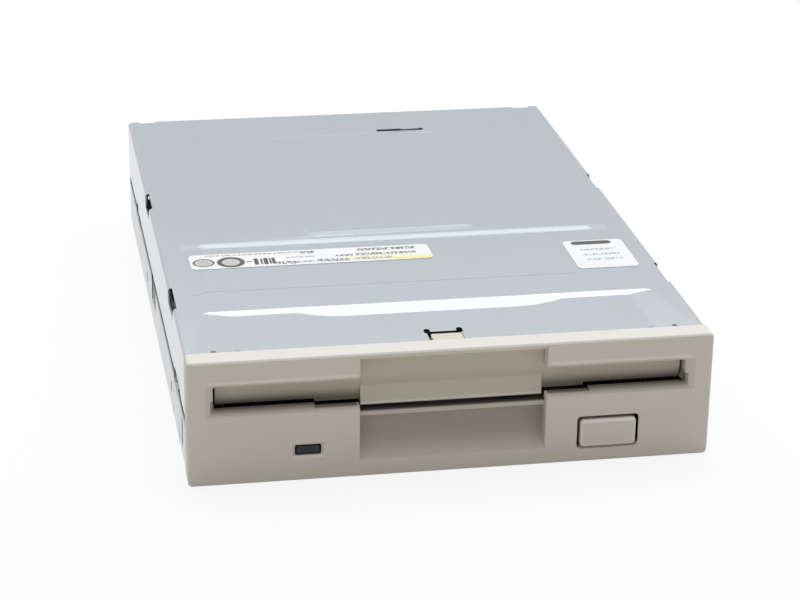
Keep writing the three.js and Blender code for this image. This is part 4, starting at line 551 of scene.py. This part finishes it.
def makeCableFinish(look):
    material, tree, shader, where = startMaterial("amberFilm")
    split = tree.nodes.new("ShaderNodeSeparateXYZ")
    tree.links.new(addVectorMath(tree, "SCALE", where, perMetre), split.inputs[0])
    wave = addMath(tree, "SINE", addMath(tree, "MULTIPLY", split.outputs["X"], 2 * math.pi / look["pitch"]))
    line = addRange(tree, wave, *look["lineSpan"])
    grain = addGrain(tree, where, look)
    colour = mixColour(tree, line, look["film"], look["copper"])
    soil = addMath(tree, "MULTIPLY", grain["Tone"], look["soil"])
    tree.links.new(mixColour(tree, soil, colour, look["soiled"]), shader.inputs["Base Color"])
    tree.links.new(addRange(tree, grain["Tone"], 0, 1, *look["gloss"]), shader.inputs["Roughness"])
    addRelief(tree, shader, line, look["relief"], look["depth"])
    return material


wear(["head_cable"], makeCableFinish(cableLook))
print("boards and cable finished")

# Lamp lens: smoky plastic, almost black from outside

lensLook = dict(
    edge=0.12, steps=2, dark=paint(29, 35, 46), light=paint(39, 46, 57), soiled=paint(54, 58, 66),
    grain=0.4, blotch=3, gloss=(0.2, 0.28), relief=0.05, shine=0.3)
lampLens = dressedCopy("lamp_lens", "lampLens", "root", lensLook)
wearOn(lampLens, makeFinish("smokyLens", lensLook))

# Bezel: cream moulding. Its gaps are painted dark as shade, and its painted shades and highlights stand in
# for what soft light leaves in hollows and on edges

bezelLook = dict(
    edge=0.12, steps=2, dark=paint(213, 207, 194), light=paint(219, 214, 202), soiled=paint(196, 190, 176),
    grain=0.35, blotch=26, gloss=(0.5, 0.6), relief=0.25, soil=0.2, shine=0.35,
    # painted shade in the gaps round the button and the lens and under the flap
    gapShadeTone=paint(44, 38, 32),
    gaps=[
        ((23.9, 0.25, 3.3), (37.1, 5.2, 9.9)),                                      # round the button
        ((-31, 1.1, 4.9), (-24.9, 5.2, 7.4)),                                       # round the lens
        ((-46.5, 2.25, 13.3), (46.5, 5.2, 15.15)),                                  # under the flap
    ],
    paintedShading=[
        # painted shade in the thumb recess, then on the top and the front of the bar over it
        ((-18.15, 1.9, 2.5), (18.15, 6.5, 11.95), (0.05, 1.7, 0.05), 0.5, paint(112, 99, 80)),
        ((-18.15, 1.75, 12.75), (18.15, 6, 13.3), (0.05, 0.5, 0.1), 0.9, paint(40, 35, 30)),
        ((-18.15, 1.2, 11.9), (18.15, 2.3, 13), (0.05, 0.1, 0.1), 0.3, paint(140, 130, 112)),
        # painted shade on the lower bevel of the slot and a painted highlight on its upper bevel
        *onBothSides((18.5, 0.75, 12.5), (46.3, 3, 17), (0.2, 0.75, 0.3), 0.75, paint(60, 52, 42)),
        *onBothSides((18.7, -0.5, 20.7), (46.6, 0.6, 21.4), (0.3, 0.3, 0.25), 0.35, paint(250, 246, 238)),
        # painted light on the bezel's top, and painted highlights on the sills under the lens and the button
        ((-60, -1, 25.12), (60, 20, 27), (0.1, 0.1, 0.1), 1, paint(228, 226, 219)),
        ((-31.1, 0.04, 4.4), (-24.7, 0.62, 5.04), (0.2, 0.04, 0.04), 0.8, paint(245, 240, 232)),
        ((23, 0.02, 2.2), (38, 4.9, 3.2), (0.1, 0.02, 0.1), 1, paint(255, 250, 242)),
    ])
bezel = dressedCopy("bezel", "bezelMoulding", "root", bezelLook)
wearOn(bezel, makeFinish("beigeBezel", bezelLook))

# Slot flap: painted shade darker towards its foot, and a painted highlight on its centre plate's lower edge

flapLook = dict(
    edge=0.15, steps=2, dark=paint(198, 189, 174), light=paint(204, 196, 181), soiled=paint(182, 173, 156),
    grain=0.35, blotch=22, gloss=(0.5, 0.6), relief=0.25, soil=0.25, shine=0.35,
    paintedShading=[
        # painted shade darker downwards, then a painted highlight on the centre plate's lower edge
        ((-48, 3.1, 10), (48, 6, 17.8), (0.05, 0.12, 2.6), 0.38, paint(92, 83, 68)),
        ((-17.7, 1.9, 13.7), (17.7, 3.1, 14.45), (0.05, 0.1, 0.2), 0.5, paint(240, 234, 224)),
    ])
slotFlap = dressedCopy("slot_flap", "slotFlap", "flap", flapLook)
wearOn(slotFlap, makeFinish("beigeFlap", flapLook))

# Eject button: painted highlights make its rounded rim paler along the top, the bottom and both ends

# boxes of painted highlight on the rim, each with its strength
buttonRimHighlights = [
    ((24, -1, 8.5), (37, 0.1, 9.5), 0.85), ((24, -1, 3), (37, 0.1, 3.65), 0.6),
    ((24, -1, 3), (25.35, 0.1, 9.5), 0.5), ((35.65, -1, 3), (37, 0.1, 9.5), 0.55),
]
buttonLook = dict(
    edge=0.15, steps=3, dark=paint(217, 207, 195), light=paint(223, 214, 203), soiled=paint(194, 185, 172),
    grain=0.3, blotch=8, gloss=(0.42, 0.5), relief=0.2, soil=0.25, shine=0.4,
    paintedShading=[(low, high, (0.4, 0.1, 0.35), strength, paint(255, 250, 243))
             for low, high, strength in buttonRimHighlights])
ejectButton = dressedCopy("eject_button", "ejectButton", "slide_plate", buttonLook)
wearOn(ejectButton, makeFinish("beigeButton", buttonLook))
print("bezel, flap and button finished")

# Top cover: plated sheet, near one gloss all over, with painted shade dark inside its slots and seams

coverLook = dict(
    edge=0, folds=((-49.8, 4, 22), (49.8, 27, 26)),
    dark=paint(170, 179, 185), light=paint(174, 182, 188), soiled=paint(164, 172, 178),
    grain=0.7, blotch=30, gloss=(0.262, 0.268), relief=0.004, metal=0.9, rolled=True, soil=0.2, haze=0.02,
    creaseShadeTone=paint(120, 126, 132), gapShadeTone=paint(16, 17, 18),
    # a shallow groove in the relief along each crease, painted darker as painted shade
    creases=[
        ((-43, 36.2, 24.88), (32, 36, 24.88), 0.16, 0.4),
        ((-46.4, 34.4, 24.88), (-43, 36.2, 24.88), 0.16, 0.4),
    ],
    # painted shade, near black, inside the openings
    gaps=[
        ((7.2, 131.9, 24), (19.3, 134.1, 24.82)),                                   # rear slot
        ((-4.2, 10.9, 23), (4.2, 13.4, 24.22)),                                     # notch for the bezel
        *[gap for start, end in ((28.5, 39.3), (85.9, 95.6))                        # side slots
          for gap in onBothSides((49, start, 21.8), (50.62, end, 24.8))],
        *[gap for end in (39.2, 95.5)                                               # their rear ends
          for gap in onBothSides((50, end - 0.2, 21.8), (50.9, end + 0.1, 25.4))],
    ],
    paintedShading=[
        # painted shading of the sheen: darker towards the rear and paler towards the front
        ((-49.9, 100, 24), (49.9, 300, 26), (0.1, 60, 0.1), 0.25, paint(150, 161, 169)),
        ((-49.9, -90, 23), (49.9, 35, 26), (0.1, 30, 0.1), 0.25, paint(190, 197, 203)),
        # painted shade in the bottom of the rear slot, a painted sheen round the bead and a painted highlight
        # on the edge before the slot
        ((7.9, 132.2, 24.6), (13.6, 133.9, 25.2), (0.3, 0.25, 0.1), 0.93, paint(24, 26, 28)),
        ((-45.6, 60, 24.7), (45.4, 62.6, 26), (1, 1.6, 0.1), 0.36, paint(206, 212, 217)),
        ((-17, 130.2, 24.8), (20.6, 130.7, 25.4), (3, 0.2, 0.1), 0.3, paint(240, 243, 246)),
        # painted shade at the joints with the bezel's tabs, painted light on the side flanges and painted
        # shade in the seam at their front
        *onBothSides((44.5, 6.3, 24), (45.4, 7.6, 25), (0.2, 0.2, 0.1), 0.8, jointShade),
        *onBothSides((39.9, 6.3, 24), (40.8, 7.6, 25), (0.2, 0.2, 0.1), 0.6, jointShade),
        *onBothSides((50.3, 0, 0), (52, 150, 24.3), (0.25, 0.1, 0.5), 1, paint(216, 219, 224)),
        *onBothSides((50.2, 14, 11.8), (52, 31, 12.75), (0.1, 0.5, 0.15), 0.85, seamShade),
    ],
    dulled=[
        ((-46, 58.6, 24.92), (46, 63.4, 26), (0.5, 0.4, 0.03), 0.3),                # bead
        ((-21.5, 63.8, 24.92), (20, 66, 26), (0.5, 0.3, 0.03), 0.4),                # panel's front edge
    ])
topCover = dressedCopy("top_cover", "topCover", "root", coverLook)
wearOn(topCover, makeFinish("platedCover", coverLook))

# Chassis: plated tray, with painted shade in its seam with the cover and behind the cover's side slots

chassisLook = dict(
    edge=0, dark=paint(178, 183, 188), light=paint(190, 195, 199), soiled=paint(164, 168, 172),
    grain=0.6, blotch=16, gloss=(0.32, 0.4), relief=0.1, metal=0.85, rolled=True, soil=0.35,
    gapShadeTone=paint(18, 19, 21),
    gaps=[
        # painted shade, near black, in the seam and behind the cover's side slots
        ((-52, 4, 11.15), (52, 150, 12.7)), ((-49.85, 4, 8.3), (49.85, 150, 12.7)), # seam
        *[gap for start, end in ((27.8, 40), (85.2, 96.3))                          # behind the slots
          for gap in onBothSides((48, start, 21), (52, end, 25.4))],
    ],
    paintedShading=[
        # painted light on the walls, and painted shade darker towards the seam
        *onBothSides((50.2, 0, -1), (52, 150, 11), (0.1, 0.1, 0.1), 1, paint(210, 214, 219)),
        *onBothSides((50.2, 0, 9.9), (52, 150, 12), (0.1, 0.1, 0.7), 0.75, paint(70, 73, 78)),
        # painted shade round the notches in the walls, then two small dark painted spots near the floor
        *onBothSides((49.7, 73, 5.4), (52, 82.6, 12), (0.1, 0.5, 0.4), 0.9, paint(30, 32, 36)),
        *onBothSides((50.2, 113.5, 9.4), (52, 120.5, 12), (0.1, 0.6, 0.3), 0.85, seamShade),
        *[patch for start, end in ((30.7, 31.8), (18.3, 19.4))
          for patch in onBothSides((50.2, start, 0.9), (52, end, 2.9), (0.1, 0.15, 0.15), 0.8, seamShade)],
    ])
chassis = dressedCopy("chassis", "chassisTray", "root", chassisLook)
wearOn(chassis, makeFinish("platedChassis", chassisLook))
print("cover and chassis finished")

# Paper labels on the cover

labelLook = dict(
    corner=1.2, cornerSteps=5, thick=0.08, top=24.88, printedAt=24.96, smoothBelow=30,
    dark=paint(237, 238, 240), light=paint(241, 242, 244), grain=0.25, blotch=9, gloss=(0.5, 0.6),
    relief=0.2, depth=0.02, inkSoftness=(0.12, 0.5), ringSoftness=0.4)
inkDark = paint(24, 24, 28)
inkGrey = paint(92, 93, 98)
inkYellow = paint(240, 226, 120)
# a bar goes from one place to another, with half its width, its strength, its breaks and its ink, and a
# ring has its centre, its radius, half the width of its line, its strength and its ink
longLabel = dict(
    x=(-45, 5.3), y=(48.4, 56.5),
    bars=[
        ((-11, 50.4), (5, 49.7), 1.5, 0.3, 0, inkYellow),
        ((-3.3, 49.3), (5, 49), 0.6, 0.6, 0, inkYellow),
        *[((x, 49.9), (x, 52.6), half, 0.95, 0, inkDark)
          for x, half in ((-31.4, 0.45), (-30.3, 0.2), (-29.4, 0.45), (-28.5, 0.2), (-27.8, 0.35))],
        ((-33.2, 51.4), (-32.6, 51.4), 0.3, 0.8, 0, inkDark),
        ((-26.8, 49.9), (-23.7, 49.8), 0.75, 0.9, 0.9, inkDark),
        ((-23.2, 49.8), (-19.9, 49.9), 0.45, 0.75, 0.8, inkGrey),
        ((-18.4, 50.2), (-12.7, 49.9), 0.7, 0.85, 0.9, inkDark),
        ((-24.8, 52.7), (-19.2, 52.7), 0.35, 0.6, 0.9, inkGrey),
        ((-14.2, 52.3), (-11.6, 52.3), 0.55, 0.8, 0.9, inkDark),
        ((-9.2, 55.1), (1.9, 54.9), 0.7, 0.85, 0.9, inkDark),
        ((-10, 52.5), (1.6, 52.3), 0.65, 0.8, 0.9, inkDark),
        ((-10.6, 50.2), (-3.8, 50), 0.55, 0.75, 0.9, inkGrey),
        ((-41.4, 55.6), (-22.7, 55.4), 0.4, 0.65, 0.9, inkGrey),
        ((-21.3, 55.1), (-19.5, 55.1), 0.7, 0.9, 0.9, inkDark),
    ],
    rings=[
        ((-42.2, 51.9), 2.0, 0.28, 0.85, inkDark), ((-42.2, 51.9), 0.8, 0.75, 0.5, inkGrey),
        ((-36.6, 51.6), 2.35, 0.55, 0.95, inkDark), ((-36.6, 51.6), 0.9, 0.8, 0.45, inkGrey),
    ])
smallLabel = dict(
    x=(33.7, 46.6), y=(38, 53.7), rings=[],
    bars=[((36.4, 52.3), (43.1, 52.3), 1.0, 0.95, 0, inkDark),
          *[((37, y), (43.8, y), 0.5, 0.6, 0.9, inkGrey) for y in (48.4, 45.6, 42.8)]])


def makeLabel(name, label, look):
    low, high = label["x"], label["y"]
    bpy.ops.mesh.primitive_plane_add(size=1, location=spot(sum(low) / 2, sum(high) / 2, look["top"]))
    piece = bpy.context.object
    piece.name = name
    piece.scale = ((low[1] - low[0]) * mm, (high[1] - high[0]) * mm, 1)
    settle(piece)
    editAll(piece)
    bpy.ops.mesh.bevel(offset=look["corner"] * mm, segments=look["cornerSteps"], affect="VERTICES")
    bpy.ops.mesh.select_all(action="SELECT")
    bpy.ops.mesh.extrude_region_move(TRANSFORM_OT_translate={"value": (0, 0, look["thick"] * mm)})
    bpy.ops.mesh.select_all(action="SELECT")
    bpy.ops.mesh.normals_make_consistent(inside=False)
    leaveEdit()
    settle(piece)
    smooth(piece, look["smoothBelow"])
    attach(piece, "root")
    return piece


def makeLabelFinish(name, label, look):
    material, tree, shader, where = startMaterial(name)
    grain = addGrain(tree, where, look)
    colour = mixColour(tree, grain["Tone"], look["dark"], look["light"])
    widest, share = look["inkSoftness"]
    printedAt = look["printedAt"]
    for start, end, half, strength, breaks, ink in label["bars"]:
        bar = {"Start": inMmAt(*start, printedAt), "End": inMmAt(*end, printedAt), "Half Width": half,
               "Softness": min(widest, half * share), "Breaks": breaks}
        mask = placeGroup(tree, markLine, where, bar)["Mask"]
        colour = mixColour(tree, addMath(tree, "MULTIPLY", mask, strength), colour, ink)
    for centre, radius, half, strength, ink in label["rings"]:
        ring = {"Centre": inMmAt(*centre, printedAt), "Radius": radius, "Half Width": half,
                "Softness": half * look["ringSoftness"]}
        mask = placeGroup(tree, markRing, where, ring)["Mask"]
        colour = mixColour(tree, addMath(tree, "MULTIPLY", mask, strength), colour, ink)
    tree.links.new(colour, shader.inputs["Base Color"])
    tree.links.new(addRange(tree, grain["Tone"], 0, 1, *look["gloss"]), shader.inputs["Roughness"])
    addRelief(tree, shader, grain["Height"], look["relief"], look["depth"])
    return material


ratingLabel = makeLabel("ratingLabel", longLabel, labelLook)
wearOn(ratingLabel, makeLabelFinish("ratingPaper", longLabel, labelLook))
cornerLabel = makeLabel("cornerLabel", smallLabel, labelLook)
wearOn(cornerLabel, makeLabelFinish("cornerPaper", smallLabel, labelLook))
print("labels placed")

# Studio: pale floor, soft light from above and behind, camera at the photograph's angle. Metres here

floorLook = {"size": 6, "seen": paint(250, 250, 250), "lit": paint(240, 240, 240), "glow": 0.84,
             "roughness": 0.8, "shine": 0.1}
worldLook = {"ambient": 0.37, "seen": 1}
keyLight = {"place": (0.12, 0.46, 0.82), "size": (1.9, 0.78), "power": 7.9}
topLight = {"place": (0, 0.02, 0.95), "size": (1.2, 1), "power": 2.6}
shot = {"lens": 106.88, "sensor": 36, "nearest": 0.01, "roll": 0.908,
        "place": (-0.08568, -0.47469, 0.20325), "target": (0.000429, -0.01315, 0.01101)}


def addSeen(tree):
    # 1 where the camera, a gloss or a clear piece sees the surface, and 0 for the light that it throws back
    path = tree.nodes.new("ShaderNodeLightPath").outputs
    return addMath(tree, "MAXIMUM", path["Is Camera Ray"],
                   addMath(tree, "MAXIMUM", path["Is Glossy Ray"], path["Is Transmission Ray"]))


def makeFloor(look):
    # white with a faint shadow where it is seen, and greyer for the light that it throws back
    bpy.ops.mesh.primitive_plane_add(size=look["size"], location=(0, 0, 0))
    floor = bpy.context.object
    floor.name = "studioFloor"
    material = bpy.data.materials.new("paleFloor")
    material.use_nodes = True
    tree = material.node_tree
    shader = tree.nodes["Principled BSDF"]
    seen = addSeen(tree)
    tree.links.new(mixColour(tree, seen, look["lit"], look["seen"]), shader.inputs["Base Color"])
    shader.inputs["Roughness"].default_value = look["roughness"]
    shader.inputs["Specular IOR Level"].default_value = look["shine"]
    glow = tree.nodes.new("ShaderNodeEmission")
    both = tree.nodes.new("ShaderNodeMixShader")
    tree.links.new(addMath(tree, "MULTIPLY", seen, look["glow"]), both.inputs[0])
    tree.links.new(shader.outputs[0], both.inputs[1])
    tree.links.new(glow.outputs[0], both.inputs[2])
    tree.links.new(both.outputs[0], tree.nodes["Material Output"].inputs["Surface"])
    wearOn(floor, material)


def makeWorld(look):
    world = bpy.data.worlds.new("studioWorld")
    scene.world = world
    world.use_nodes = True
    tree = world.node_tree
    back = tree.nodes["Background"]
    back.inputs["Color"].default_value = white
    strength = addRange(tree, addSeen(tree), 0, 1, look["ambient"], look["seen"])
    tree.links.new(strength, back.inputs["Strength"])


def makeSoftbox(name, light):
    bpy.ops.object.light_add(type="AREA", location=light["place"])
    lamp = bpy.context.object
    lamp.name = name
    lamp.data.shape = "RECTANGLE"
    lamp.data.size, lamp.data.size_y = light["size"]
    lamp.data.energy = light["power"]
    lamp.rotation_euler = (-Vector(light["place"])).to_track_quat("-Z", "Y").to_euler()
    return lamp


def makeCamera(shot):
    data = bpy.data.cameras.new("photoCamera")
    data.lens = shot["lens"]
    data.sensor_width = shot["sensor"]
    data.clip_start = shot["nearest"]
    camera = bpy.data.objects.new("photoCamera", data)
    scene.collection.objects.link(camera)
    ahead = (Vector(shot["target"]) - Vector(shot["place"])).normalized()
    right = ahead.cross(Vector((0, 0, 1))).normalized()
    above = right.cross(ahead)
    roll = math.radians(shot["roll"])
    turnedRight = math.cos(roll) * right + math.sin(roll) * above
    turnedUp = turnedRight.cross(ahead)
    turned = Matrix((turnedRight, turnedUp, -ahead)).transposed().to_4x4()
    camera.matrix_world = Matrix.Translation(shot["place"]) @ turned
    scene.camera = camera


makeFloor(floorLook)
makeWorld(worldLook)
makeSoftbox("keySoftbox", keyLight)
topSoftbox = makeSoftbox("topSoftbox", topLight)
topSoftbox.visible_glossy = False   # so that the steel keeps its grey when it is seen from above
makeCamera(shot)
scene.view_settings.view_transform = "Standard"
print("studio ready")
